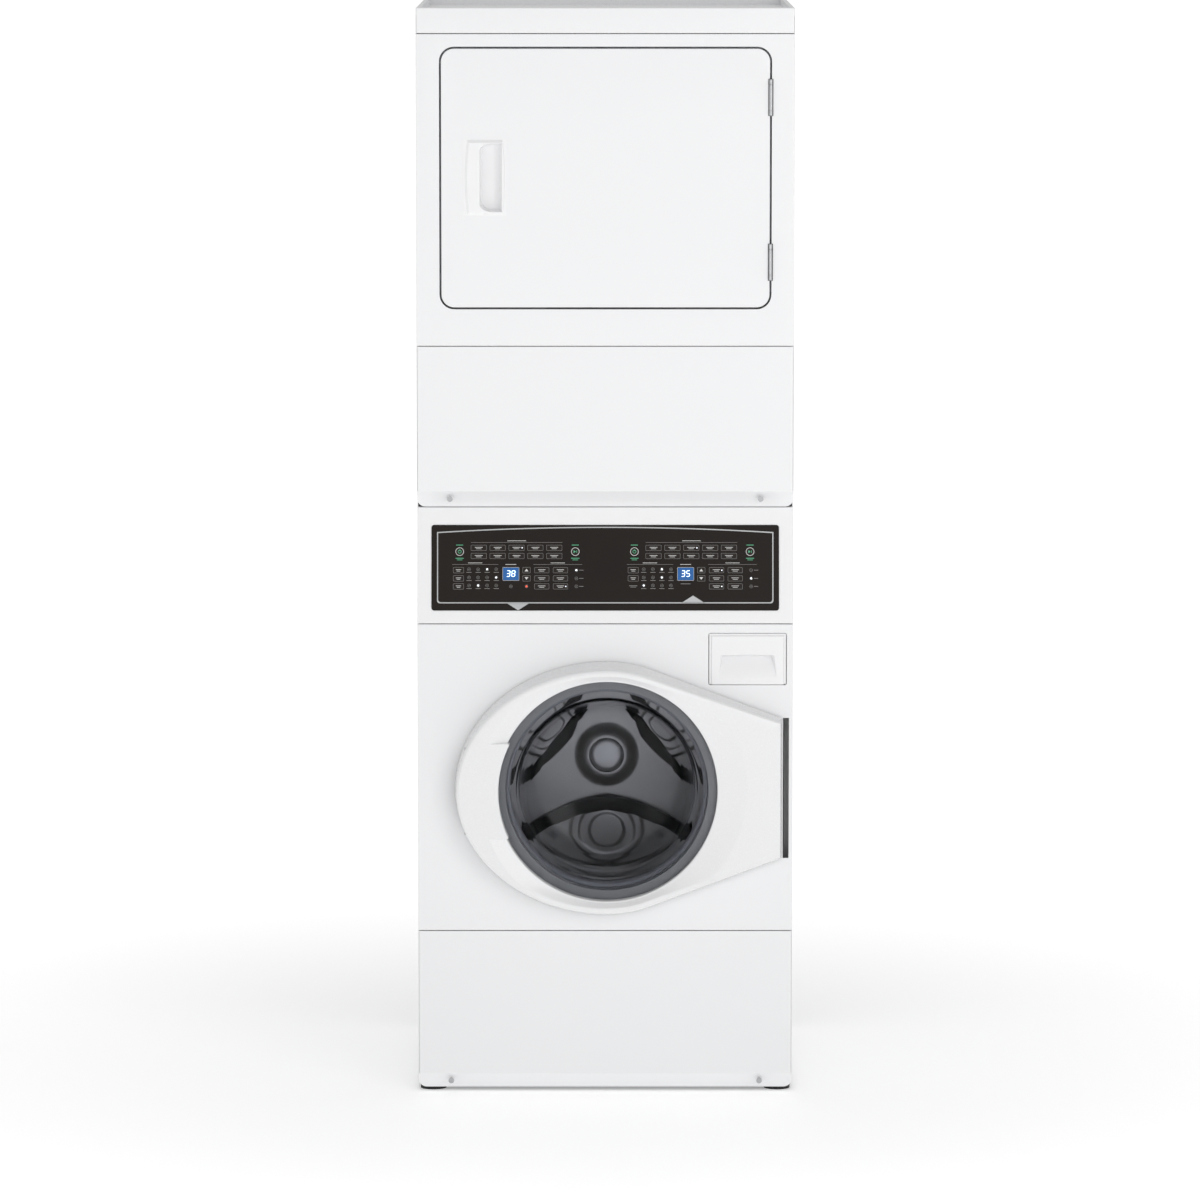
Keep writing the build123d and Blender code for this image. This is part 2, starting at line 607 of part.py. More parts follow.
motor_pulley = rod_y(motor_shaft, MOTOR_X, MOTOR_Z, at_depth(402),
                     at_depth(PULLEY_FRONT + PULLEY_WIDTH))
motor_pulley += rod_y(MOTOR_PULLEY_RADIUS, MOTOR_X, MOTOR_Z, at_depth(PULLEY_FRONT - 1),
                      at_depth(PULLEY_FRONT + PULLEY_WIDTH + 1))
save("washer_motor_pulley", motor_pulley)
washer_loop = belt_outline(DRUM_X, DRUM_Z, PULLEY_RADIUS + FIT + BELT,
                           MOTOR_X, MOTOR_Z, MOTOR_PULLEY_RADIUS + FIT + BELT)
washer_loop -= belt_outline(DRUM_X, DRUM_Z, PULLEY_RADIUS + FIT,
                            MOTOR_X, MOTOR_Z, MOTOR_PULLEY_RADIUS + FIT)
save("washer_belt", slab(washer_loop, at_depth(PULLEY_FRONT + 2),
                         at_depth(PULLEY_FRONT + PULLEY_WIDTH - 2)))

# Drum: an open-fronted cylinder with a rolled mouth.
shell_out = DRUM_RADIUS + DRUM_SHEET
drum = turned([(DRUM_RADIUS, at_depth(DRUM_BACK)), (DRUM_RADIUS, at_depth(DRUM_FRONT + DRUM_SHEET)),
               (DRUM_MOUTH + 6, at_depth(DRUM_FRONT + DRUM_SHEET)),
               (DRUM_MOUTH + 6, at_depth(DRUM_FRONT)), (shell_out, at_depth(DRUM_FRONT)),
               (shell_out, at_depth(DRUM_BACK))], DRUM_X, DRUM_Z)
save("washer_drum", drum)

# Drum back: a disc with three raised pads round a sunken star, and its bolts.
back = rod_y(shell_out, DRUM_X, DRUM_Z, at_depth(DRUM_BACK), at_depth(DRUM_BACK + BACK_SHEET))
for turn in range(LIFTERS):
    reach = 2 * PAD_OUTER
    wedge = make_face(Polyline(
        (0, 0), (-reach * math.sin(math.radians(PAD_HALF_ANGLE)),
                 -reach * math.cos(math.radians(PAD_HALF_ANGLE))),
        (reach * math.sin(math.radians(PAD_HALF_ANGLE)),
         -reach * math.cos(math.radians(PAD_HALF_ANGLE))), close=True))
    sector = (Pos(DRUM_X, DRUM_Z) * wedge) & (
        Pos(DRUM_X, DRUM_Z) * (Circle(PAD_OUTER) - Circle(PAD_INNER)))
    pad = slab(sector, at_depth(DRUM_BACK - PAD_STEP), at_depth(DRUM_BACK))
    pad = chamfer(pad.faces().sort_by(Axis.Y)[0].edges(), PAD_STEP - PAD_FOOT)
    back += around(pad, turn * 360 / LIFTERS, DRUM_X, DRUM_Z)
hollow_back = Pos(0, BACK_SHEET / 2, 0) * back
back -= hollow_back & rod_y(DRUM_RADIUS, DRUM_X, DRUM_Z, FRONT, REAR)
back += tube_y(shell_out, DRUM_RADIUS - 8, DRUM_X, DRUM_Z, at_depth(DRUM_BACK),
               at_depth(DRUM_BACK + BACK_SHEET))
back += rod_y(HUB_RADIUS, DRUM_X, DRUM_Z, at_depth(DRUM_BACK - 6), at_depth(DRUM_BACK))
for turn in range(BACK_BOLTS):
    angle = math.radians(turn * 360 / BACK_BOLTS)
    back += rod_y(BOLT_RADIUS, DRUM_X + BACK_BOLT_CIRCLE * math.sin(angle),
                  DRUM_Z + BACK_BOLT_CIRCLE * math.cos(angle), at_depth(DRUM_BACK - 5),
                  at_depth(DRUM_BACK))
save("drum_back", back)

# Spider: the shaft and its three arms behind the drum.
spider_back = TUB_BACK - RUN_GAP
spider = rod_y(SHAFT_RADIUS, DRUM_X, DRUM_Z, at_depth(DRUM_BACK + BACK_SHEET),
               at_depth(PULLEY_FRONT + PULLEY_WIDTH + 10))
spider += rod_y(SPIDER_BOSS, DRUM_X, DRUM_Z, at_depth(DRUM_BACK + BACK_SHEET), at_depth(spider_back))
for turn in range(LIFTERS):
    arm = block(DRUM_X - ARM_HALF, DRUM_X + ARM_HALF, at_depth(DRUM_BACK + BACK_SHEET), 
                at_depth(spider_back), DRUM_Z + ARM_FROM, DRUM_Z + DRUM_RADIUS - 10)
    spider += around(arm, turn * 360 / LIFTERS, DRUM_X, DRUM_Z)
save("drum_spider", spider)

# Lifters: three hollow-looking ribs along the drum wall.
lifter_low = [(-34, DRUM_RADIUS - FIT), (-22, LIFTER_CREST + 12), (-8, LIFTER_CREST),
              (8, LIFTER_CREST), (22, LIFTER_CREST + 12), (34, DRUM_RADIUS - FIT)]
rib = Pos(DRUM_X, DRUM_Z) * make_face(Polyline(*lifter_low, close=True))
rib = slab(rib, at_depth(DRUM_FRONT + LIFTER_START), at_depth(DRUM_BACK - 6))
rib = rib & rod_y(DRUM_RADIUS - FIT, DRUM_X, DRUM_Z, FRONT, REAR)
core = Pos(DRUM_X, DRUM_Z) * offset(make_face(Polyline(*lifter_low, close=True)), -2 * DRUM_SHEET)
rib -= slab(core, at_depth(DRUM_FRONT + LIFTER_START + DRUM_SHEET), at_depth(DRUM_BACK))
lifters = Part()
for turn in range(LIFTERS):
    lifters += around(rib, turn * 360 / LIFTERS, DRUM_X, DRUM_Z)
save("drum_lifters", lifters)

# Pulley behind the tub, keyed on the shaft.
pulley = tube_y(PULLEY_RADIUS, PULLEY_RADIUS - RIM_DEPTH, DRUM_X, DRUM_Z, at_depth(PULLEY_FRONT),
                at_depth(PULLEY_FRONT + PULLEY_WIDTH))
web_mid = PULLEY_FRONT + PULLEY_WIDTH / 2
web = tube_y(PULLEY_RADIUS - RIM_DEPTH, SHAFT_RADIUS, DRUM_X, DRUM_Z,
             at_depth(web_mid - PULLEY_SHEET / 2), at_depth(web_mid + PULLEY_SHEET / 2))
for turn in range(WEB_HOLES):
    window = rod_y(WEB_HOLE_RADIUS, DRUM_X, DRUM_Z + WEB_HOLE_CIRCLE, at_depth(PULLEY_FRONT),
                   at_depth(PULLEY_FRONT + 20))
    web -= around(window, turn * 360 / WEB_HOLES, DRUM_X, DRUM_Z)
pulley += web
pulley += tube_y(SHAFT_RADIUS + RIM_DEPTH, SHAFT_RADIUS, DRUM_X, DRUM_Z, at_depth(PULLEY_FRONT + 1),
                 at_depth(PULLEY_FRONT + PULLEY_WIDTH))
save("drum_pulley", pulley)

# Suspension: two coil springs from the deck and two friction dampers to the base.
spring_y = [at_depth(depth) for depth in SPRING_DEPTHS]
damper_y = [at_depth(depth) for depth in DAMPER_DEPTHS]
suspension = Part()
for side in (-1, 1):
    x = DRUM_X + side * SPRING_X
    hang_z = DRUM_Z + math.sqrt((TUB_RADIUS + TUB_WALL) ** 2 - SPRING_X ** 2)
    for y in spring_y:
        suspension += rod_z(SPRING_RADIUS, x, y, hang_z + 24, SPRING_TOP + 110)
    dx = DRUM_X + side * DAMPER_X
    foot_z = DRUM_Z - math.sqrt((TUB_RADIUS + TUB_WALL) ** 2 - DAMPER_X ** 2)
    for y in damper_y:
        suspension += rod_z(DAMPER_RADIUS, dx, y, frame_top + 12, foot_z - 34)
save("tub_suspension", suspension)

# Gasket: a bellows between the port in the front panel and the tub mouth.
gasket = turned([(PORT_RADIUS - FIT, at_depth(2)), (GASKET_INNER, at_depth(2)),
                 (GASKET_INNER, at_depth(56)), (GASKET_INNER + 6, at_depth(62)),
                 (GASKET_INNER + 6, at_depth(TUB_FRONT + TUB_WALL + 4)),
                 (DRUM_MOUTH - FIT, at_depth(TUB_FRONT + TUB_WALL + 4)),
                 (DRUM_MOUTH - FIT, at_depth(70)), (PORT_RADIUS - FIT, at_depth(60))],
                DRUM_X, DRUM_Z)
save("door_gasket", gasket)

# Pump at the front of the base, reached behind the access panel.
pump = rod_y(PUMP_RADIUS, PUMP_X, PUMP_Z, at_depth(70), at_depth(160))
pump += rod_y(PUMP_RADIUS - 14, PUMP_X, PUMP_Z, at_depth(160), at_depth(205))
pump += block(PUMP_X - 35, PUMP_X + 35, at_depth(50), at_depth(82), frame_top + FIT, PUMP_Z)
pump += block(PUMP_X - 35, PUMP_X + 35, at_depth(80), at_depth(150), PUMP_Z - 48, PUMP_Z)
save("drain_pump", pump + drain)


# ================= washer door =================

hinge_y = FRONT - HINGE_OUT
ring_back = FRONT - DOOR_GAP


def ring_outline(shrink):
    """Return the door's front view: a round ring that runs out into a straight handle end."""
    radius = RING_RADIUS - shrink
    left = RING_LEFT - shrink
    reach = HANDLE_X - DRUM_X
    half = HANDLE_HALF - shrink / 2
    distance = math.hypot(reach, half)
    touch = math.atan2(half, reach) + math.acos(radius / distance)
    high = (radius * math.cos(touch), radius * math.sin(touch))
    low = (high[0], -high[1])
    bow = Ellipse(left, radius) & Pos(-left, 0) * Rectangle(2 * left, 3 * radius)
    wing = make_face(Polyline((0, 0), high, (reach, half), (reach, -half), low, close=True))
    return Pos(DRUM_X, DRUM_Z) * (bow + Circle(radius) + wing)


def slope_cut(sink):
    """Return the block in front of the door's face, which falls away to the handle end."""
    face = DOOR_FACE + sink
    start = DRUM_X + 60
    points = [(start, face), (HANDLE_X + 40, face + HANDLE_DROP * 1.15),
              (HANDLE_X + 40, DOOR_FACE - 50), (-2 * HALF, DOOR_FACE - 50), (-2 * HALF, face)]
    outline = make_face(Polyline(*points, close=True))
    return Pos(0, 0, DRUM_Z - HALF) * extrude(Plane.XY * outline, 2 * HALF)


draft = math.degrees(math.atan2(RING_DRAFT, DOOR_BULGE))
ring = extrude(front_plane(ring_back) * ring_outline(0), DOOR_BULGE, taper=draft)
ring -= slope_cut(0)
inside = extrude(front_plane(ring_back + 1) * ring_outline(RING_WALL), DOOR_BULGE, taper=draft)
inside -= slope_cut(RING_WALL)
ring -= inside
collar = tube_y(WINDOW_RADIUS + RING_WALL, WINDOW_RADIUS, DRUM_X, DRUM_Z, DOOR_FACE + 1,
                DOOR_FACE + WINDOW_SINK)
collar -= slope_cut(0)
ring -= rod_y(WINDOW_RADIUS, DRUM_X, DRUM_Z, DOOR_FACE - 1, ring_back + 1)
ring += collar
ring -= rod_y(WINDOW_RADIUS, DRUM_X, DRUM_Z, DOOR_FACE - 1, ring_back + 1)
beyond = block(-HALF, HINGE_X, hinge_y, FRONT, DRUM_Z - HALF, DRUM_Z + HALF)
ring -= beyond - rod_z(HINGE_SWEEP, HINGE_X, hinge_y, DRUM_Z - HALF - 1, DRUM_Z + HALF + 1)
for row in HINGE_ROWS:
    ring -= block(-HALF, HINGE_X + KNUCKLE + 8, hinge_y - KNUCKLE - RUN_GAP, FRONT,
                  DRUM_Z + row - HINGE_SLOT / 2, DRUM_Z + row + HINGE_SLOT / 2)
save("washer_door_ring", ring)

# Window: a drinking-glass shaped bowl whose rim is clamped behind the ring.
rim_y = DOOR_FACE + WINDOW_SINK + FIT
clamp = 8.0
bowl = turned([(WINDOW_RADIUS + clamp, rim_y), (WINDOW_RADIUS + clamp, rim_y + BOWL_WALL),
               (BOWL_THROAT + 16, rim_y + BOWL_WALL), (BOWL_THROAT, at_depth(-10)),
               (BOWL_THROAT - 8, at_depth(30)), (BOWL_END + 14, at_depth(BOWL_REACH - 14)),
               (BOWL_END, at_depth(BOWL_REACH)), (0, at_depth(BOWL_REACH)),
               (0, at_depth(BOWL_REACH - BOWL_WALL)), (BOWL_END - 3, at_depth(BOWL_REACH - BOWL_WALL)),
               (BOWL_END + 9, at_depth(BOWL_REACH - 18)), (BOWL_THROAT - 13, at_depth(28)),
               (BOWL_THROAT - BOWL_WALL, at_depth(-12)), (BOWL_THROAT + 12, rim_y)],
              DRUM_X, DRUM_Z)
save("washer_door_window", bowl)

# Inner frame: a ring that clamps the bowl and closes the back of the door.
inner_frame = tube_y(WINDOW_RADIUS + clamp + 6, BOWL_THROAT + 18, DRUM_X, DRUM_Z,
                     rim_y + BOWL_WALL + FIT, ring_back)
for row in HINGE_ROWS:
    inner_frame -= block(-HALF, HINGE_X + HINGE_REACH, DOOR_FACE, FRONT,
                         DRUM_Z + row - HINGE_SLOT / 2, DRUM_Z + row + HINGE_SLOT / 2)
save("washer_door_frame", inner_frame)

# Hinge: two knuckles on the door turn on pins held between ears on the front panel.
# Each ear is a gooseneck, so that the door's face can pass in front of its root.
ear_root = HINGE_X + 24
arms = Part()
bracket = Part()
for row in HINGE_ROWS:
    z = DRUM_Z + row
    knuckle = Pos(HINGE_X, hinge_y, z) * Cylinder(KNUCKLE, 24)
    arm = block(HINGE_X, HINGE_X + HINGE_REACH, hinge_y - 4, hinge_y + 3, z - 12, z + 12)
    arms += knuckle + arm
    arms -= Pos(HINGE_X, hinge_y, z) * Cylinder(HINGE_PIN + SHAFT_FIT, 26)
    bracket += Pos(HINGE_X, hinge_y, z) * Cylinder(HINGE_PIN, 44)
    for ear in (-1, 1):
        ear_z = z + ear * 17.5
        bracket += Pos(HINGE_X, hinge_y, ear_z) * Cylinder(KNUCKLE - 1, 8)
        bracket += block(HINGE_X, ear_root + 10, hinge_y - 6, hinge_y + 8, ear_z - 4, ear_z + 4)
        bracket += block(ear_root, ear_root + 10, hinge_y, FRONT, ear_z - 4, ear_z + 4)
    bracket += block(ear_root - 10, ear_root + 22, FRONT - 2, FRONT, z - 30, z + 30)
save("washer_hinge_arms", arms)
save("washer_hinge_bracket", bracket)

lock = block(232, 262, FRONT + SHEET + FIT, FRONT + 34, DRUM_Z - 45, DRUM_Z + 45)
save("washer_door_lock", lock)


# ================= detergent drawer =================

drawer_x0 = DRAWER_LEFT + SEAM_GAP
drawer_x1 = DRAWER_RIGHT - SEAM_GAP
drawer_z0 = DRAWER_BOTTOM + SEAM_GAP
drawer_z1 = DRAWER_TOP - SEAM_GAP
fascia = slab(rounded(drawer_x0, drawer_x1, drawer_z0, drawer_z1, EDGE_ROUND), FRONT,
              FRONT + DRAWER_FRONT)
scoop_z = drawer_z1 - 38.0
scoop = side_prism([(FRONT - 1, scoop_z), (FRONT + 10, scoop_z), (FRONT - 1, drawer_z0 + 14)],
                   drawer_x0 + 22, drawer_x1 - 22)
fascia -= scoop
tray_x0, tray_x1 = drawer_x0 + 8, drawer_x1 - 8
tray_z0, tray_z1 = drawer_z0 + 8, drawer_z1 - 8
tray_y0, tray_y1 = FRONT + DRAWER_FRONT, FRONT + DRAWER_FRONT + DRAWER_LENGTH
tray = block(tray_x0, tray_x1, tray_y0, tray_y1, tray_z0, tray_z1)
cell_x = (tray_x1 - tray_x0 - 4 * DRAWER_WALL) / 3
for cell in range(3):
    x = tray_x0 + DRAWER_WALL + cell * (cell_x + DRAWER_WALL)
    tray -= block(x, x + cell_x, tray_y0 + DRAWER_WALL, tray_y1 - DRAWER_WALL,
                  tray_z0 + DRAWER_WALL, tray_z1 + 1)
save("detergent_drawer", fascia + tray)

shell_gap = 2.0
shell = block(tray_x0 - shell_gap - DRAWER_WALL, tray_x1 + shell_gap + DRAWER_WALL,
              FRONT + DRAWER_FRONT + 4, tray_y1 + shell_gap + DRAWER_WALL,
              tray_z0 - shell_gap - DRAWER_WALL - 12, tray_z1 + shell_gap + DRAWER_WALL)
shell -= block(tray_x0 - shell_gap, tray_x1 + shell_gap, FRONT, tray_y1 + shell_gap,
               tray_z0 - shell_gap, tray_z1 + shell_gap)
shell = shell - rod_y(TUB_RADIUS + TUB_WALL + RUN_GAP + TUB_TRAVEL, DRUM_X, DRUM_Z, FRONT, REAR)
save("drawer_housing", shell)


# ================= dryer =================

# Front panel: a pan with the recess for the flush door.
load_front = front_pan(DRYER_SEAM, TOP_SEAM - SEAM_GAP)
opening = rounded(LOAD_DOOR_LEFT, LOAD_DOOR_RIGHT, LOAD_DOOR_BOTTOM, LOAD_DOOR_TOP,
                  LOAD_DOOR_CORNER)
jamb = rounded(LOAD_DOOR_LEFT - SHEET, LOAD_DOOR_RIGHT + SHEET, LOAD_DOOR_BOTTOM - SHEET,
               LOAD_DOOR_TOP + SHEET, LOAD_DOOR_CORNER + SHEET)
load_front += slab(jamb, FRONT + SHEET, FRONT + JAMB_DEPTH)
load_front -= slab(opening, FRONT - 1, FRONT + PAN_DEPTH + 1)
notch_r = LOAD_BARREL + FIT
for z in LOAD_HINGES:
    load_front -= block(LOAD_HINGE_X, LOAD_HINGE_X + notch_r + 1, FRONT - 1, FRONT + 4,
                        z - LOAD_BARREL_LENGTH / 2 - 1, z + LOAD_BARREL_LENGTH / 2 + 1)
save("dryer_front_panel", load_front)

# Bulkheads close the drum at both ends.
mouth_z = (LOAD_DOOR_BOTTOM + LOAD_DOOR_TOP) / 2
mouth = Pos(0, mouth_z) * RectangleRounded(DRYER_MOUTH_W, DRYER_MOUTH_H, DRYER_MOUTH_R)
wall_y = at_depth(BULKHEAD_FRONT)
front_bulkhead = block(-SHEET_IN, SHEET_IN, wall_y, wall_y + SHEET, CONSOLE_TOP + FLANGE,
                       TOP_SEAM - 4)
seat = tube_y(DRYER_RADIUS - 6, DRYER_RADIUS - 10, 0, DRYER_Z, wall_y + SHEET,
              at_depth(DRYER_FRONT + 16))
front_bulkhead += seat
front_bulkhead -= slab(mouth, wall_y - 1, wall_y + SHEET + 1)
slot_z = FILTER_TOP - FILTER_HEIGHT
front_bulkhead -= block(-FILTER_WIDTH / 2 + 6, FILTER_WIDTH / 2 - 6, wall_y - 1,
                        at_depth(DRYER_FRONT + 20), slot_z + 6, slot_z + 50)
roller_reach = DRYER_RADIUS + ROLLER_RADIUS + FIT
roller_z = DRYER_Z - math.sqrt(roller_reach ** 2 - ROLLER_X ** 2)
stub_y0 = wall_y + SHEET
for side in (-1, 1):
    x = side * ROLLER_X
    front_bulkhead += rod_y(ROLLER_AXLE, x, roller_z, stub_y0, at_depth(ROLLER_FRONT + ROLLER_WIDTH + 8))
    front_bulkhead += rod_y(ROLLER_AXLE + 5, x, roller_z, stub_y0, at_depth(ROLLER_FRONT - RUN_GAP))
save("dryer_front_bulkhead", front_bulkhead)

rear_y = at_depth(DRYER_BACK + 14)
rear_bulkhead = block(-SHEET_IN, SHEET_IN, rear_y, rear_y + SHEET, CONSOLE_TOP + 200, TOP_SEAM - 4)
rear_bulkhead += rod_y(AXLE_BOSS, 0, DRYER_Z, rear_y + SHEET, rear_y + 22)
rear_bulkhead -= rod_y(DRYER_AXLE + SHAFT_FIT, 0, DRYER_Z, rear_y - 1, rear_y + 24)
rear_bulkhead -= slab(Pos(0, DRYER_Z - 190) * SlotOverall(260, 70), rear_y - 1, rear_y + SHEET + 1)
save("dryer_rear_bulkhead", rear_bulkhead)

tumbler = tube_y(DRYER_RADIUS, DRYER_RADIUS - DRYER_SHEET, 0, DRYER_Z, at_depth(DRYER_FRONT),
                 at_depth(DRYER_BACK))
tumbler_back = rod_y(DRYER_RADIUS - DRYER_SHEET, 0, DRYER_Z, at_depth(DRYER_BACK - DRYER_SHEET),
                     at_depth(DRYER_BACK))
for ring_radius, holes in VENT_ROWS:
    hole = rod_y(VENT_RADIUS, 0, DRYER_Z + ring_radius, at_depth(DRYER_BACK - 5),
                 at_depth(DRYER_BACK + 5))
    tumbler_back -= [around(hole, n * 360 / holes, 0, DRYER_Z) for n in range(holes)]
tumbler += tumbler_back
tumbler += rod_y(AXLE_BOSS - 2, 0, DRYER_Z, at_depth(DRYER_BACK), at_depth(DRYER_BACK + 8))
tumbler += rod_y(DRYER_AXLE, 0, DRYER_Z, at_depth(DRYER_BACK), rear_y + 30)
save("dryer_drum", tumbler)

inner_r = DRYER_RADIUS - DRYER_SHEET
baffle_points = [(-BAFFLE_FOOT, inner_r - 2), (-BAFFLE_CREST, inner_r - BAFFLE_HEIGHT),
                 (BAFFLE_CREST, inner_r - BAFFLE_HEIGHT), (BAFFLE_FOOT, inner_r - 2),
                 (0, inner_r + 20)]
vane = slab(Pos(0, DRYER_Z) * make_face(Polyline(*baffle_points, close=True)),
            at_depth(DRYER_FRONT + 30), at_depth(DRYER_BACK - 10))
vane = vane & rod_y(inner_r, 0, DRYER_Z, FRONT, REAR)
vane_core = Pos(0, DRYER_Z) * offset(make_face(Polyline(*baffle_points, close=True)), -3)
vane -= slab(vane_core, at_depth(DRYER_FRONT + 33), at_depth(DRYER_BACK))
baffles = Part()
for turn in range(BAFFLES):
    baffles += around(vane, turn * 360 / BAFFLES, 0, DRYER_Z)
save("dryer_drum_baffles", baffles)

# Two rollers carry the drum's front edge.
for name, side in (("left", -1), ("right", 1)):
    x = side * ROLLER_X
    wheel = tube_y(ROLLER_RADIUS, ROLLER_AXLE + SHAFT_FIT, x, roller_z, at_depth(ROLLER_FRONT),
                   at_depth(ROLLER_FRONT + ROLLER_WIDTH))
    save("drum_roller_" + name, wheel)

# Drive: one motor turns the belt at its rear and the fan at its front.
drive = rod_y(DRIVE_RADIUS, DRIVE_X, DRIVE_Z, at_depth(DRIVE_FROM), at_depth(DRIVE_TO))
drive += block(DRIVE_X - SADDLE_HALF, DRIVE_X + SADDLE_HALF, at_depth(DRIVE_FROM + 10),
               at_depth(DRIVE_TO - 10), CONSOLE_TOP - SEAM_GAP, DRIVE_Z - 30)
drive -= rod_y(DRIVE_RADIUS - MOTOR_WALL, DRIVE_X, DRIVE_Z, at_depth(DRIVE_FROM) + MOTOR_WALL,
               at_depth(DRIVE_TO) - MOTOR_WALL)
drive -= rod_y(DRIVE_SHAFT + SHAFT_FIT, DRIVE_X, DRIVE_Z, at_depth(DRIVE_FROM - 10),
               at_depth(DRIVE_TO + 10))
save("dryer_motor", drive)

fan = rod_y(DRIVE_SHAFT, DRIVE_X, DRIVE_Z, at_depth(FAN_FRONT + 6), at_depth(DRIVE_BELT_AT + 20))
fan += rod_y(DRIVE_PULLEY, DRIVE_X, DRIVE_Z, at_depth(DRIVE_BELT_AT - 2),
             at_depth(DRIVE_BELT_AT + DRIVE_BELT_WIDTH + 2))
blades = rod_y(FAN_RADIUS, DRIVE_X, DRIVE_Z, at_depth(FAN_FRONT + FAN_WIDTH - 3),
               at_depth(FAN_FRONT + FAN_WIDTH))
blades += rod_y(FAN_HUB, DRIVE_X, DRIVE_Z, at_depth(FAN_FRONT + 8),
                at_depth(FAN_FRONT + FAN_WIDTH))
for turn in range(FAN_BLADES):
    blade = block(DRIVE_X - 1.5, DRIVE_X + 1.5, at_depth(FAN_FRONT), at_depth(FAN_FRONT + FAN_WIDTH),
                  DRIVE_Z + 40, DRIVE_Z + FAN_RADIUS)
    blades += around(blade, turn * 360 / FAN_BLADES, DRIVE_X, DRIVE_Z)
save("blower_wheel", fan + blades)

# Blower housing with its outlet duct; the duct's collar leaves through the rear panel.
case_r = FAN_RADIUS + 10
case_y0, case_y1 = at_depth(FAN_FRONT - 8), at_depth(FAN_FRONT + FAN_WIDTH + 8)
scroll = Pos(DRIVE_X, DRIVE_Z) * Circle(case_r)
scroll += Pos((DRIVE_X + DUCT_X) / 2, DRIVE_Z - case_r + (DUCT_RADIUS + 6)) * Rectangle(
    DRIVE_X - DUCT_X, 2 * (DUCT_RADIUS + 6))
scroll += Pos(DUCT_X, DRIVE_Z - case_r + (DUCT_RADIUS + 6)) * Circle(DUCT_RADIUS + 6)
inner_scroll = offset(scroll, -WALL)
case = slab(scroll, case_y0, case_y1) - slab(inner_scroll, case_y0 + WALL, case_y1 - WALL)
case -= rod_y(FAN_RADIUS - 20, DRIVE_X, DRIVE_Z, case_y0 - 1, case_y0 + WALL + 1)
case -= rod_y(12, DRIVE_X, DRIVE_Z, case_y1 - WALL - 1, case_y1 + 1)
case -= rod_y(DUCT_RADIUS - 4, DUCT_X, DUCT_Z, case_y1 - WALL - 1, case_y1 + 1)
save("blower_housing", case)
duct = tube_y(DUCT_RADIUS - NECK, DUCT_RADIUS - 2, DUCT_X, DUCT_Z, case_y1 + FIT, REAR)
duct += tube_y(DUCT_RADIUS, DUCT_RADIUS - 2, DUCT_X, DUCT_Z, REAR, REAR + REAR_STUB)
save("exhaust_duct", duct)

loop = belt_outline(0, DRYER_Z, DRYER_RADIUS + FIT + 2, DRIVE_X, DRIVE_Z, DRIVE_PULLEY + FIT + 2)
loop -= belt_outline(0, DRYER_Z, DRYER_RADIUS + FIT, DRIVE_X, DRIVE_Z, DRIVE_PULLEY + FIT)
save("dryer_belt", slab(loop, at_depth(DRIVE_BELT_AT),
                        at_depth(DRIVE_BELT_AT + DRIVE_BELT_WIDTH)))

# Heater box behind the rear bulkhead.
heater_y0, heater_y1 = rear_y + SHEET + FIT, SIDE_REAR - 8
heater = block(-HEATER_HALF, HEATER_HALF, heater_y0, heater_y1, DRYER_Z - HEATER_LOW,
               DRYER_Z - HEATER_HIGH)
heater -= block(-HEATER_HALF + WALL, HEATER_HALF - WALL, heater_y0 - 1, heater_y1 - WALL,
                DRYER_Z - HEATER_LOW + WALL, DRYER_Z - HEATER_HIGH - WALL)
save("heater_box", heater)

# Lint filter: a flat cassette that lifts out of a slot in front of the drum.
filter_y0, filter_y1 = at_depth(BULKHEAD_FRONT - 5.5), at_depth(BULKHEAD_FRONT - 0.5)
cassette = block(-FILTER_WIDTH / 2, FILTER_WIDTH / 2, filter_y0, filter_y1, slot_z, FILTER_TOP)
cassette -= block(-FILTER_WIDTH / 2 + 8, FILTER_WIDTH / 2 - 8, filter_y0 + 1.5, filter_y1 + 1,
                  slot_z + 8, FILTER_TOP - 24)
for n in range(-6, 7):
    x = n * 14.0
    cassette += block(x - 1, x + 1, filter_y0 + 1.5, filter_y1, slot_z + 8, FILTER_TOP - 24)
save("lint_filter", cassette)

# Flush door: a folded outer skin, a moulded liner, a finger pull and two hinge knuckles.
door_shape = rounded(LOAD_DOOR_LEFT + LOAD_DOOR_GAP, LOAD_DOOR_RIGHT - LOAD_DOOR_GAP,
                     LOAD_DOOR_BOTTOM + LOAD_DOOR_GAP, LOAD_DOOR_TOP - LOAD_DOOR_GAP,
                     LOAD_DOOR_CORNER - LOAD_DOOR_GAP)
door_y1 = FRONT + LOAD_DOOR_THICK
skin = slab(door_shape, FRONT, door_y1)
skin = fillet(skin.faces().sort_by(Axis.Y)[0].edges(), 1.2)
skin -= slab(offset(door_shape, -SHEET), FRONT + SHEET, door_y1 + 1)
pull_shape = Pos(PULL_X, PULL_Z) * RectangleRounded(PULL_WIDTH, PULL_HEIGHT, EDGE_ROUND)
pull_hole = Pos(PULL_X, PULL_Z) * RectangleRounded(PULL_WIDTH + 2 * FIT, PULL_HEIGHT + 2 * FIT,
                                                   EDGE_ROUND + FIT)
skin -= slab(pull_hole, FRONT - 1, FRONT + SHEET + 1)
for z in LOAD_HINGES:
    half_barrel = LOAD_BARREL_LENGTH / 2 + 1
    skin -= block(LOAD_HINGE_X - notch_r - 1, LOAD_HINGE_X + 1, FRONT - 1, FRONT + LEAF_DEPTH + 1,
                  z - half_barrel, z + half_barrel)
save("dryer_door_skin", skin)

liner_y0 = door_y1 + FIT
liner = slab(offset(door_shape, -4), liner_y0, liner_y0 + LOAD_LINER_THICK)
liner -= slab(offset(door_shape, -8), liner_y0 - 1, liner_y0 + LOAD_LINER_THICK - 4)
save("dryer_door_liner", liner)

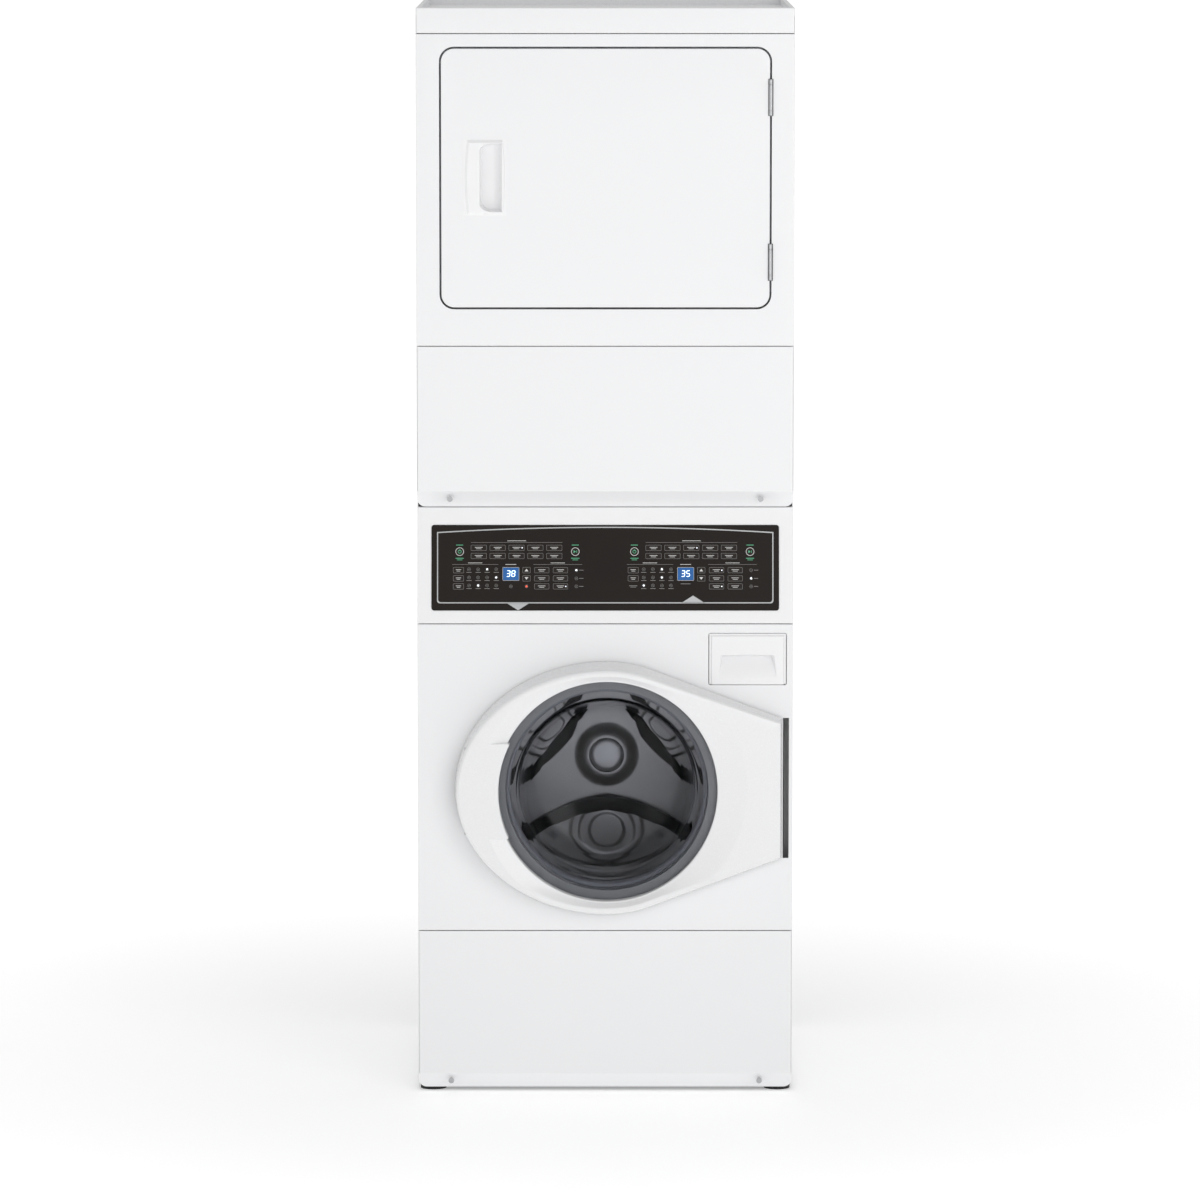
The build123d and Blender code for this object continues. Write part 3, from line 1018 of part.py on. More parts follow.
pocket_x0, pocket_x1 = PULL_POCKET
pull = slab(pull_shape, FRONT, FRONT + PULL_DEPTH + 2)
scoop_plan = make_face(Polyline((pocket_x0, FRONT - 1), (pocket_x0, FRONT + PULL_DEPTH),
                                (pocket_x0 + 10, FRONT + PULL_DEPTH), (pocket_x1, FRONT - 1),
                                close=True))
scoop = extrude(Plane.XY.offset(PULL_Z - PULL_POCKET_HEIGHT / 2) * scoop_plan, PULL_POCKET_HEIGHT)
pull -= scoop
save("dryer_door_pull", pull)

knuckles = Part()
pins = Part()
for z in LOAD_HINGES:
    axis_y = FRONT - LOAD_HINGE_OUT
    knuckles += Pos(LOAD_HINGE_X, axis_y, z) * Cylinder(LOAD_BARREL, LOAD_BARREL_LENGTH - 20)
    knuckles += block(LOAD_HINGE_X - 3.1, LOAD_HINGE_X - 1.9, axis_y, FRONT + LEAF_DEPTH,
                      z - LOAD_BARREL_LENGTH / 2 + 10, z + LOAD_BARREL_LENGTH / 2 - 10)
    knuckles -= Pos(LOAD_HINGE_X, axis_y, z) * Cylinder(LOAD_PIN + SHAFT_FIT, LOAD_BARREL_LENGTH)
    pins += Pos(LOAD_HINGE_X, axis_y, z) * Cylinder(LOAD_PIN, LOAD_BARREL_LENGTH)
    for end in (-1, 1):
        end_z = z + end * (LOAD_BARREL_LENGTH / 2 - 4.5)
        pins += Pos(LOAD_HINGE_X, axis_y, end_z) * Cylinder(LOAD_BARREL, 9)
        pins += block(LOAD_HINGE_X + 0.6, LOAD_HINGE_X + 1.9, axis_y, FRONT + LEAF_DEPTH,
                      end_z - 4.5, end_z + 4.5)
save("dryer_hinge_knuckles", knuckles)
save("dryer_hinge_pins", pins)
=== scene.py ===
"""Dresses the stacked washer and tumble dryer: fine meshes, finishes, soft light and camera."""

import logging
import math
import random
from dataclasses import dataclass, field
from enum import Enum
from typing import Callable, Optional, Sequence

import bmesh
import bpy
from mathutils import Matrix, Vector


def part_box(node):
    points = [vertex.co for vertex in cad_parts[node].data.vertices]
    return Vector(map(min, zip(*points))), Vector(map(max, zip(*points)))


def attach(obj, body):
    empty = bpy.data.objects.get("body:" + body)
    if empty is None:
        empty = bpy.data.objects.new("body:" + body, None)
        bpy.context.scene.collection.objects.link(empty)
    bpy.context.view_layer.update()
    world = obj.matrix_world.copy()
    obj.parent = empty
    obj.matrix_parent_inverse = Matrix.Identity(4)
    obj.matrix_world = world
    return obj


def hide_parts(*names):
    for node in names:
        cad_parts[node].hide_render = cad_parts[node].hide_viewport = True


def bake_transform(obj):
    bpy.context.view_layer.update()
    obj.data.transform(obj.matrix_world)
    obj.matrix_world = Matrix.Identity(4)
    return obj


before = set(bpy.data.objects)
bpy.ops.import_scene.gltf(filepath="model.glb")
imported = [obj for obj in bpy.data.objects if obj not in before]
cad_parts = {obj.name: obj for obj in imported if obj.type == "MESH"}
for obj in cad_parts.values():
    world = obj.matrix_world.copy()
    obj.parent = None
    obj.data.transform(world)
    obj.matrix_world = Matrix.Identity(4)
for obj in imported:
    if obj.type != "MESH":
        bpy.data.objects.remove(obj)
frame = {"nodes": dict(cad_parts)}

LOG = logging.getLogger("laundry_centre")
MM = 0.001
Point2 = tuple[float, float]
Point3 = tuple[float, float, float]
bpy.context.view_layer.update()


def linear(hex_colour: str, alpha: float = 1.0) -> tuple[float, float, float, float]:
    """Turn an sRGB hex colour into linear light.

    Args:
        hex_colour: Six hex digits with a leading hash.
        alpha: Opacity to carry along.

    Returns:
        Linear red, green, blue and alpha.
    """
    channels = [int(hex_colour[i:i + 2], 16) / 255 for i in (1, 3, 5)]
    light = [c / 12.92 if c <= 0.04045 else ((c + 0.055) / 1.055) ** 2.4 for c in channels]
    return (light[0], light[1], light[2], alpha)


def per_metre(size_mm: float) -> float:
    """Return a texture scale that repeats once in a size given in millimetres."""
    return 1000.0 / size_mm


def add_node(tree: bpy.types.NodeTree, kind: str, values: Optional[dict] = None,
             links: Optional[dict] = None, **settings: object) -> bpy.types.Node:
    """Add one shader node with its settings, socket values and incoming links.

    Args:
        tree: The material's node tree.
        kind: The node's type name.
        values: Socket name or index to a constant.
        links: Socket name or index to the output socket that feeds it.
        settings: Attributes of the node itself.

    Returns:
        The new node.
    """
    made = tree.nodes.new(kind)
    for name, value in settings.items():
        setattr(made, name, value)
    for name, value in (values or {}).items():
        made.inputs[name].default_value = value
    for name, source in (links or {}).items():
        tree.links.new(source, made.inputs[name])
    return made


class Grain(Enum):
    """How a surface's fine relief runs."""

    SPECKLE = "speckle"  # moulded or sprayed: even in every direction
    BRUSHED = "brushed"  # drawn along the machine's depth
    TURNED = "turned"  # drawn round a horizontal shaft
    WOVEN = "woven"  # cord or felt


@dataclass(frozen=True)
class Finish:
    """One real material with the way its surface was made.

    Attributes:
        name: The material's name in the file.
        tone: Main sRGB colour.
        tint: Second sRGB colour that drifts over the surface.
        drift_mm: Size of the drift between the two colours.
        metallic: 0 for a dielectric, 1 for a metal.
        roughness: Mean roughness.
        spread: How far roughness wanders either side of its mean.
        grain: Direction of the relief.
        grain_mm: Real spacing of the relief.
        relief_mm: Height of the relief.
        ior: Index of refraction, left at 1.5 for a metal.
        coat: Strength of a clear lacquer over the colour.
        coat_roughness: Roughness of that lacquer.
        transmission: 1 for a clear body.
        glow: Emission strength for a lamp.
        sheen: Soft edge light of a fibrous or rubbery surface.
    """

    name: str
    tone: str
    tint: str
    drift_mm: float = 120.0
    metallic: float = 0.0
    roughness: float = 0.4
    spread: float = 0.05
    grain: Grain = Grain.SPECKLE
    grain_mm: float = 1.5
    relief_mm: float = 0.02
    ior: float = 1.5
    coat: float = 0.0
    coat_roughness: float = 0.1
    transmission: float = 0.0
    glow: float = 0.0
    sheen: float = 0.0

    def stretch(self) -> Point3:
        """Return how the relief's texture space is scaled along X, Y and Z."""
        return {Grain.SPECKLE: (1.0, 1.0, 1.0), Grain.BRUSHED: (1.0, 0.03, 1.0),
                Grain.TURNED: (0.15, 1.0, 0.15), Grain.WOVEN: (1.0, 0.35, 1.0)}[self.grain]

    def build(self) -> bpy.types.Material:
        """Make the material, or return it if it has been made already."""
        known = bpy.data.materials.get(self.name)
        if known:
            return known
        made = bpy.data.materials.new(self.name)
        made.use_nodes = True
        tree = made.node_tree
        tree.nodes.clear()
        place = add_node(tree, "ShaderNodeTexCoord").outputs["Object"]
        run = add_node(tree, "ShaderNodeMapping", {"Scale": self.stretch()}, {"Vector": place})
        drift = add_node(tree, "ShaderNodeTexNoise",
                         {"Scale": per_metre(self.drift_mm), "Detail": 3.0, "Roughness": 0.55},
                         {"Vector": place})
        relief = add_node(tree, "ShaderNodeTexNoise",
                          {"Scale": per_metre(self.grain_mm), "Detail": 2.0, "Roughness": 0.6},
                          {"Vector": run.outputs["Vector"]})
        colour = add_node(tree, "ShaderNodeMix",
                          {6: linear(self.tone), 7: linear(self.tint)},
                          {"Factor": drift.outputs["Fac"]}, data_type="RGBA", blend_type="MIX")
        gloss = add_node(tree, "ShaderNodeMapRange",
                         {"To Min": max(0.02, self.roughness - self.spread),
                          "To Max": min(1.0, self.roughness + self.spread)},
                         {"Value": relief.outputs["Fac"]})
        bump = add_node(tree, "ShaderNodeBump",
                        {"Strength": 0.35, "Distance": self.relief_mm * MM},
                        {"Height": relief.outputs["Fac"]})
        values = {"Metallic": self.metallic, "IOR": self.ior, "Coat Weight": self.coat,
                  "Coat Roughness": self.coat_roughness,
                  "Transmission Weight": self.transmission, "Sheen Weight": self.sheen}
        if self.glow:
            values["Emission Color"] = linear(self.tone)
            values["Emission Strength"] = self.glow
        shader = add_node(tree, "ShaderNodeBsdfPrincipled", values,
                          {"Base Color": colour.outputs[2], "Roughness": gloss.outputs["Result"],
                           "Normal": bump.outputs["Normal"]})
        add_node(tree, "ShaderNodeOutputMaterial", links={"Surface": shader.outputs["BSDF"]})
        return made


# Mild steel sheet, enamelled and baked: even white with a faint orange peel and a soft gloss.
ENAMEL = Finish("enamelled_steel_baked", "#EDEDEE", "#EAEBEC", 400, roughness=0.30, spread=0.03,
                grain_mm=2.2, relief_mm=0.012, coat=0.25, coat_roughness=0.12)
# White ABS, injection moulded: a touch warmer than the enamel, with a fine spark-eroded grain.
WHITE_ABS = Finish("abs_moulded_white", "#EFEFF0", "#ECECED", 260, roughness=0.36, spread=0.04,
                   grain_mm=0.9, relief_mm=0.010, ior=1.53)
# White ABS, polished tool: the door ring is smoother and picks up broad soft reflections.
RING_ABS = Finish("abs_moulded_polished_ring", "#E9E9EA", "#E6E6E7", 300, roughness=0.27,
                  spread=0.03, grain_mm=1.4, relief_mm=0.008, ior=1.53, coat=0.15)
# Polycarbonate film, back-printed: near-black warm brown under a clear gloss.
OVERLAY_FILM = Finish("polycarbonate_film_back_printed", "#1D1917", "#231E1B", 90,
                      roughness=0.24, spread=0.02, grain_mm=1.2, relief_mm=0.002, ior=1.28)
# Screen inks on the back of the film: flat and slightly translucent.
INK_WHITE = Finish("screen_ink_white", "#D9D8D6", "#CFCECB", 20, roughness=0.45)
INK_GREY = Finish("screen_ink_grey", "#8B8986", "#807E7B", 20, roughness=0.45)
INK_GREEN = Finish("screen_ink_green", "#5FB58A", "#57AC82", 20, roughness=0.45)
INK_SILVER = Finish("foil_ink_silver", "#C9CACB", "#B9BABB", 60, metallic=0.6, roughness=0.30)
KEY_FILM = Finish("polycarbonate_key_dome_pressed", "#241F1D", "#2A2522", 30, roughness=0.28,
                  ior=1.28)
# Light-emitting diodes behind the film.
LAMP_WHITE = Finish("led_lens_lit_white", "#F4F8FF", "#E8F0FF", 10, roughness=0.3, glow=2.0)
LAMP_RED = Finish("led_lens_lit_red", "#FF5A3C", "#FF4A30", 10, roughness=0.3, glow=1.5)
DISPLAY_GLASS = Finish("display_window_blue", "#1E4E86", "#2A62A0", 18, roughness=0.15,
                       ior=1.5, glow=0.35)
DIGIT_LIGHT = Finish("display_segment_lit", "#CFE6FF", "#BFDCFF", 8, roughness=0.3, glow=2.2)
# Polypropylene, moulded grey: the inner pieces of both machines.
GREY_PP = Finish("polypropylene_moulded_grey", "#8E9092", "#86888A", 90, roughness=0.5,
                 grain_mm=1.1, relief_mm=0.02, ior=1.49)
TUB_PP = Finish("polypropylene_filled_tub", "#B9B8B4", "#ACABA7", 70, roughness=0.55,
                grain_mm=1.3, relief_mm=0.03, ior=1.49)
# Galvanised sheet: bright grey with large zinc crystals.
GALVANISED = Finish("steel_sheet_galvanised", "#B4B7BA", "#9DA1A5", 14, metallic=1.0,
                    roughness=0.38, spread=0.1, grain_mm=9.0, relief_mm=0.01)
ZINC_PLATE = Finish("steel_zinc_plated", "#B9BABB", "#A9AAAC", 18, metallic=1.0, roughness=0.32,
                    grain_mm=1.2, relief_mm=0.01)
# Stainless sheet, drawn and rolled: the scratches run along the drum.
STAINLESS = Finish("stainless_sheet_drawn", "#DADAD9", "#CACAC9", 60, metallic=1.0,
                   roughness=0.36, spread=0.08, grain=Grain.BRUSHED, grain_mm=1.2,
                   relief_mm=0.01)
STAINLESS_PRESSED = Finish("stainless_pressing_satin", "#C0C0BF", "#ADADAC", 80, metallic=1.0,
                           roughness=0.42, spread=0.08, grain=Grain.TURNED, grain_mm=1.6,
                           relief_mm=0.01)
CAST_ALLOY = Finish("aluminium_die_cast", "#A7A8A9", "#96989A", 16, metallic=1.0, roughness=0.5,
                    grain_mm=2.0, relief_mm=0.05)
MOTOR_VARNISH = Finish("steel_varnished_black", "#1C1C1E", "#26262A", 40, roughness=0.35,
                       grain_mm=2.0, relief_mm=0.02, coat=0.3)
CONCRETE = Finish("concrete_cast_weight", "#8F8D88", "#7A7873", 9, roughness=0.85, grain_mm=2.5,
                  relief_mm=0.25)
# EPDM rubber: grey bellows, black feet and belts.
GREY_EPDM = Finish("epdm_rubber_moulded_grey", "#8B8D91", "#818388", 40, roughness=0.6,
                   grain_mm=0.8, relief_mm=0.02, sheen=0.1)
# Black rubber for the feet; the same black also colours the bands of painted shade on the drum's
# back.
BLACK_RUBBER_AND_PAINTED_SHADE = Finish("rubber_black_and_painted_shade", "#161617", "#1E1E20", 25, roughness=0.7,
                      grain_mm=0.9, relief_mm=0.03, sheen=0.1)
BELT_RUBBER = Finish("rubber_belt_ribbed", "#151516", "#222224", 12, roughness=0.65,
                     grain=Grain.WOVEN, grain_mm=1.6, relief_mm=0.1)
CIRCUIT_LAMINATE = Finish("glass_epoxy_laminate_masked", "#1E5A35", "#17482A", 12,
                          roughness=0.35, ior=1.55, coat=0.3)


@dataclass(frozen=True)
class TintedBowl:
    """Moulded polycarbonate window: a clear grey body that darkens what is behind it."""

    name: str = "polycarbonate_window_smoked"
    tone: str = "#E6E7EC"
    roughness: float = 0.03
    ior: float = 1.18
    waviness_mm: float = 35.0

    def build(self) -> bpy.types.Material:
        """Make the window's material, or return it if it has been made already."""
        known = bpy.data.materials.get(self.name)
        if known:
            return known
        made = bpy.data.materials.new(self.name)
        made.use_nodes = True
        tree = made.node_tree
        tree.nodes.clear()
        place = add_node(tree, "ShaderNodeTexCoord").outputs["Object"]
        wave = add_node(tree, "ShaderNodeTexNoise",
                        {"Scale": per_metre(self.waviness_mm), "Detail": 1.0}, {"Vector": place})
        bump = add_node(tree, "ShaderNodeBump", {"Strength": 0.1, "Distance": 0.05 * MM},
                        {"Height": wave.outputs["Fac"]})
        haze = add_node(tree, "ShaderNodeMapRange",
                        {"To Min": self.roughness, "To Max": self.roughness + 0.04},
                        {"Value": wave.outputs["Fac"]})
        shader = add_node(tree, "ShaderNodeBsdfPrincipled",
                          {"Base Color": linear(self.tone), "IOR": self.ior,
                           "Transmission Weight": 1.0},
                          {"Normal": bump.outputs["Normal"], "Roughness": haze.outputs["Result"]})
        add_node(tree, "ShaderNodeOutputMaterial", links={"Surface": shader.outputs["BSDF"]})
        return made


# ---------------------------------------------------------------- mesh tools


@dataclass
class MeshKit:
    """Gathers faces and turns them into one smooth-shaded piece.

    Attributes:
        name: Name of the piece.
        points: Corners so far.
        faces: Corner numbers of each face so far.
    """

    name: str
    points: list[Point3] = field(default_factory=list)
    faces: list[tuple[int, ...]] = field(default_factory=list)

    def grid(self, rows: Sequence[Sequence[Point3]], closed: bool = False) -> None:
        """Join rows of points into a skin.

        Args:
            rows: Rows with the same number of points each.
            closed: Whether each row's last point joins its first.
        """
        base = len(self.points)
        wide = len(rows[0])
        for row in rows:
            self.points.extend(row)
        across = wide if closed else wide - 1
        for r in range(len(rows) - 1):
            for c in range(across):
                d = (c + 1) % wide
                self.faces.append((base + r * wide + c, base + r * wide + d,
                                   base + (r + 1) * wide + d, base + (r + 1) * wide + c))

    def fan(self, rim: Sequence[Point3], flip: bool = False) -> None:
        """Close a rim with one flat face."""
        base = len(self.points)
        self.points.extend(rim)
        order = tuple(range(base, base + len(rim)))
        self.faces.append(tuple(reversed(order)) if flip else order)

    def prism(self, low: Sequence[Point3], high: Sequence[Point3]) -> None:
        """Add a closed prism between two matching outlines."""
        self.grid([list(low), list(high)], closed=True)
        self.fan(low, flip=True)
        self.fan(high)

    def finish(self, material: bpy.types.Material, bevel_mm: float = 0.0,
               smooth_angle: float = 35.0, segments: int = 2) -> bpy.types.Object:
        """Make the object.

        Args:
            material: Its one material.
            bevel_mm: Radius of the rounding on its sharp edges.
            smooth_angle: Edges sharper than this stay crisp, in degrees.
            segments: Steps round each bevel.

        Returns:
            The new object, linked to the scene.
        """
        mesh = bpy.data.meshes.new(self.name)
        mesh.from_pydata([Vector(p) for p in self.points], [], self.faces)
        work = bmesh.new()
        work.from_mesh(mesh)
        bmesh.ops.remove_doubles(work, verts=work.verts, dist=1e-6)
        bmesh.ops.recalc_face_normals(work, faces=work.faces)
        work.to_mesh(mesh)
        work.free()
        mesh.materials.append(material)
        made = bpy.data.objects.new(self.name, mesh)
        bpy.context.scene.collection.objects.link(made)
        if bevel_mm:
            rounding = made.modifiers.new("edge_rounding", "BEVEL")
            rounding.width = bevel_mm * MM
            rounding.segments = segments
            rounding.limit_method = "ANGLE"
            rounding.angle_limit = math.radians(smooth_angle)
            rounding.harden_normals = False
        shade_smooth(made, smooth_angle)
        return made


def shade_smooth(piece: bpy.types.Object, angle: float) -> None:
    """Shade a piece smooth but keep edges sharper than an angle, in degrees, crisp."""
    mesh = piece.data
    mesh.polygons.foreach_set("use_smooth", [True] * len(mesh.polygons))
    mesh.set_sharp_from_angle(angle=math.radians(angle))


def circle(radius: float, count: int, start: float = 0.0) -> list[Point2]:
    """Return points evenly round a circle."""
    return [(radius * math.cos(start + math.tau * n / count),
             radius * math.sin(start + math.tau * n / count)) for n in range(count)]


def rounded_rectangle(width: float, height: float, radius: float, steps: int = 5) -> list[Point2]:
    """Return the outline of a rectangle with round corners, centred on the origin."""
    radius = min(radius, width / 2, height / 2)
    outline = []
    for quarter, (sx, sy) in enumerate(((1, 1), (-1, 1), (-1, -1), (1, -1))):
        cx, cy = sx * (width / 2 - radius), sy * (height / 2 - radius)
        for n in range(steps + 1):
            angle = math.pi / 2 * (quarter + n / steps)
            outline.append((cx + radius * math.cos(angle), cy + radius * math.sin(angle)))
    return outline


def dress(node: str, finish: object, angle: float = 30.0) -> None:
    """Give a carried-over CAD node its finish and smooth shading.

    Args:
        node: Name of the CAD node.
        finish: Any finish with a build method.
        angle: Edges sharper than this stay crisp, in degrees.
    """
    piece = frame["nodes"][node]
    piece.data.materials.clear()
    piece.data.materials.append(finish.build())
    weld = piece.modifiers.new("joined_corners", "WELD")
    weld.merge_threshold = 0.02 * MM
    shade = piece.modifiers.new("crisp_edges", "EDGE_SPLIT")
    shade.split_angle = math.radians(angle)
    piece.data.polygons.foreach_set("use_smooth", [True] * len(piece.data.polygons))


def node_box(node: str) -> tuple[Vector, Vector]:
    """Return a CAD node's lowest and highest corners."""
    low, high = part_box(node)
    return Vector(low), Vector(high)


def settle(piece: bpy.types.Object, body: str,
           replaces: Sequence[str] = ()) -> bpy.types.Object:
    """Hand a piece to the frame and report it.

    Args:
        piece: The finished piece.
        body: The CAD body it moves with.
        replaces: CAD nodes that it stands for.

    Returns:
        The same piece.
    """
    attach(piece, body)
    if replaces:
        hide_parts(*replaces)
    LOG.info("%s rides on %s with %d faces", piece.name, body, len(piece.data.polygons))
    return piece


# ---------------------------------------------------------------- washer door


@dataclass
class WasherDoor:
    """The round door: a domed plastic ring that runs out into a handle end, and its window.

    Sizes are millimetres; heights are measured from the cabinet's front face.
    """

    centre_x: float = 3.0
    centre_z: float = 566.5
    round_radius: float = 233.0
    hinge_half_width: float = 276.0
    handle_x: float = 322.0
    handle_half: float = 129.0
    face_height: float = 60.0
    back_gap: float = 3.0
    draft: float = 9.0
    hinge_draft_cut: float = 6.5
    slope_start: float = 60.0
    slope: float = 0.1038
    window_radius: float = 201.0
    window_sink: float = 30.0
    mouth_round: float = 3.0
    dish_depth: float = 9.0
    dish_left: float = 232.0
    dish_right: float = 256.0
    block_low: float = -86.5
    block_high: float = 90.5
    block_cover: float = 4.0
    edge_roll: float = 7.0
    roll_steps: int = 6
    wall: float = 3.0
    hinge_x: float = -248.0
    hinge_out: float = 38.0
    hinge_sweep: float = 36.0
    spokes: int = 240
    cabinet_front: float = field(init=False)

    def __post_init__(self) -> None:
        """Take the cabinet's front face from the frame."""
        self.cabinet_front = node_box("washer_front_panel")[0].y / MM

    def face(self, x: float) -> float:
        """Return the face's height at a place across the door, as it falls to the handle."""
        return self.face_height - max(0.0, x - self.slope_start) * self.slope

    def outline(self, angle: float, shrink: float) -> Point2:
        """Return the outline's point in a direction from the window's centre.

        Args:
            angle: Direction in radians, 0 towards the handle.
            shrink: How far the outline has drawn in.

        Returns:
            X and Z from the window's centre.
        """
        radius = self.round_radius - shrink
        left = self.hinge_half_width - shrink
        c, s = math.cos(angle), math.sin(angle)
        if c <= 0:
            reach = 1 / math.hypot(c / left, s / radius)
            return (reach * c, reach * s)
        tip_x = self.handle_x - self.centre_x - shrink * 0.3
        tip_z = self.handle_half - shrink / 2
        touch = math.atan2(tip_z, tip_x) + math.acos(radius / math.hypot(tip_x, tip_z))
        reach = radius
        if abs(math.sin(angle)) < math.sin(touch) and c > 0:
            near = radius / max(1e-6, math.cos(touch - abs(math.atan2(s, c))))
            reach = min(near, tip_x / c)
        return (reach * c, reach * s)

    def draft_at(self, angle: float) -> float:
        """Return how far the outer wall leans in, less where it covers the hinge."""
        return self.draft - self.hinge_draft_cut * max(0.0, -math.cos(angle)) ** 4

    def directions(self) -> list[float]:
        """Return the spokes' directions, with the handle's two corners among them."""
        corner = math.atan2(self.handle_half, self.handle_x - self.centre_x)
        even = [math.tau * n / self.spokes for n in range(self.spokes)]
        extra = [corner, math.tau - corner]
        extra += [sign * (corner + d) % math.tau for sign in (1, -1) for d in (-0.012, 0.012)]
        return sorted(even + extra)

    def dish_crest(self, angle: float) -> float:
        """Return the radius at which the shallow dish meets the face."""
        mix = 0.5 + 0.5 * math.cos(angle)
        return self.dish_left + (self.dish_right - self.dish_left) * mix ** 3

    def face_edge(self, angle: float) -> Point2:
        """Return where the face ends and the rounded edge begins."""
        return self.outline(angle, self.draft_at(angle) + self.edge_roll)

    def crest(self, angle: float) -> float:
        """Return the dish's radius, kept inside the face."""
        return min(self.dish_crest(angle), math.hypot(*self.face_edge(angle)) - 4)

    def place(self, x: float, z: float, height: float) -> Point3:
        """Turn window-centred millimetres into a point in metres."""
        return ((self.centre_x + x) * MM, (self.cabinet_front - height) * MM,
                (self.centre_z + z) * MM)

    def swept_back(self, x: float) -> float:
        """Return the height of the ring's rear edge, higher near the hinge to clear the panel."""
        arm = self.hinge_x - (self.centre_x + x)
        if arm <= 0 or arm >= self.hinge_sweep:
            return self.back_gap
        return max(self.back_gap, self.hinge_out - math.sqrt(self.hinge_sweep ** 2 - arm ** 2))

    def ring_rows(self, spokes: Sequence[tuple[float, float, bool]]) -> list[list[Point3]]:
        """Return the ring's skin as rows that run round the door.

        Args:
            spokes: Inner direction, outer direction, and whether the spoke is on the hinge block.

        Returns:
            Rows from the window's edge, over the face and the outer wall, to the inside.
        """
        rows: list[list[Point3]] = []

        def row(make: Callable[[float, float, bool], Point3]) -> None:
            rows.append([make(*spoke) for spoke in spokes])

        def inner(angle: float, radius: float) -> Point2:
            return (radius * math.cos(angle), radius * math.sin(angle))

        def rim_radius(block: bool) -> float:
            return self.window_radius - (self.block_cover if block else 0.0)

        def dish(angle: float, block: bool, share: float) -> float:
            return 0.0 if block else self.dish_depth * (1 - share)

        def collar(depth: float) -> Callable[[float, float, bool], Point3]:
            def make(a: float, b: float, block: bool) -> Point3:
                x, z = inner(a, rim_radius(block))
                return self.place(x, z, self.face(self.centre_x + x) - depth)
            return make

        row(lambda a, b, k: self.place(*inner(a, rim_radius(k) + self.wall + 2),
                                       self.face_height - self.window_sink))
        row(lambda a, b, k: self.place(*inner(a, rim_radius(k)),
                                       self.face_height - self.window_sink))
        row(collar(self.dish_depth + self.mouth_round))
        for step in range(1, 5):
            turn = math.pi / 2 * step / 4

            def roll(a: float, b: float, block: bool, turn: float = turn) -> Point3:
                radius = rim_radius(block) + self.mouth_round * (1 - math.cos(turn))
                x, z = inner(a, radius)
                lift = self.mouth_round * (1 - math.sin(turn))
                return self.place(x, z, self.face(self.centre_x + x) - lift
                                  - dish(a, block, 0.0))
            row(roll)
        for share in (0.25, 0.5, 0.75, 0.92, 1.0, 1.08):
            def slope(a: float, b: float, block: bool, share: float = share) -> Point3:
                first = rim_radius(block) + self.mouth_round
                crest = self.crest(b)
                x0, z0 = inner(a, first)
                x1, z1 = crest * math.cos(b), crest * math.sin(b)
                x, z = x0 + (x1 - x0) * share, z0 + (z1 - z0) * share
                eased = min(1.0, share)
                if 0.9 < share < 1.1:
                    eased = 1 - max(0.0, 1.08 - share) ** 2 * 2.5
                return self.place(x, z, self.face(self.centre_x + x) - dish(a, block, eased))
            row(slope)
        for share in (0.5, 1.0):
            def flat(a: float, b: float, block: bool, share: float = share) -> Point3:
                ox, oz = self.face_edge(b)
                crest = self.crest(b) * 1.01
                x = crest * math.cos(b) * (1 - share) + ox * share
                z = crest * math.sin(b) * (1 - share) + oz * share
                return self.place(x, z, self.face(self.centre_x + x))
            row(flat)
        for step in range(1, self.roll_steps + 1):
            turn = math.pi / 2 * step / self.roll_steps

            def edge(a: float, b: float, block: bool, turn: float = turn) -> Point3:
                shrink = self.draft_at(b) + self.edge_roll * (1 - math.sin(turn))
                x, z = self.outline(b, shrink)
                return self.place(x, z, self.face(self.centre_x + x)
                                  - self.edge_roll * (1 - math.cos(turn)))
            row(edge)
        for share in (0.5, 1.0):
            def side(a: float, b: float, block: bool, share: float = share) -> Point3:
                x, z = self.outline(b, self.draft_at(b) * (1 - share))
                top = self.face(self.centre_x + x) - self.edge_roll
                foot = self.swept_back(x)
                return self.place(x, z, max(foot, top + (foot - top) * share))
            row(side)
        row(lambda a, b, k: self.place(*self.outline(b, self.wall),
                                       self.swept_back(self.outline(b, 0)[0])))

        def under(a: float, b: float, block: bool) -> Point3:
            x, z = self.outline(b, self.draft_at(b) + self.wall)
            height = max(self.swept_back(x) + 1.0, self.face(self.centre_x + x) - 2 * self.wall)
            return self.place(x, z, height)
        row(under)
        row(lambda a, b, k: self.place(*inner(a, rim_radius(k) + self.wall + 2),
                                       self.face(self.centre_x + 200 * math.cos(a))
                                       - self.dish_depth - 3 * self.wall))
        return rows

    def spokes_with_block(self) -> list[tuple[float, float, bool]]:
        """Return the spokes, doubled where the hinge block's two edges rise from the dish."""
        inner_high = math.asin(self.block_high / (self.window_radius + self.mouth_round))
        inner_low = math.asin(self.block_low / (self.window_radius + self.mouth_round))
        knots = []
        for rise, bend in ((self.block_high, inner_high), (self.block_low, inner_low)):
            reach = self.hinge_half_width * math.sqrt(1 - (rise / self.round_radius) ** 2) * 0.86
            knots.append((math.pi - bend, math.pi - math.atan2(rise, reach)))
        (in_high, out_high), (in_low, out_low) = knots
        table = [(0.0, 0.0), (math.pi / 2, math.pi / 2), (in_high, out_high),
                 (math.pi, math.pi), (in_low, out_low), (3 * math.pi / 2, 3 * math.pi / 2),
                 (math.tau, math.tau)]

        def outer(angle: float) -> float:
            for (a0, b0), (a1, b1) in zip(table, table[1:]):
                if a0 <= angle <= a1:
                    return b0 + (b1 - b0) * (angle - a0) / (a1 - a0)
            return angle

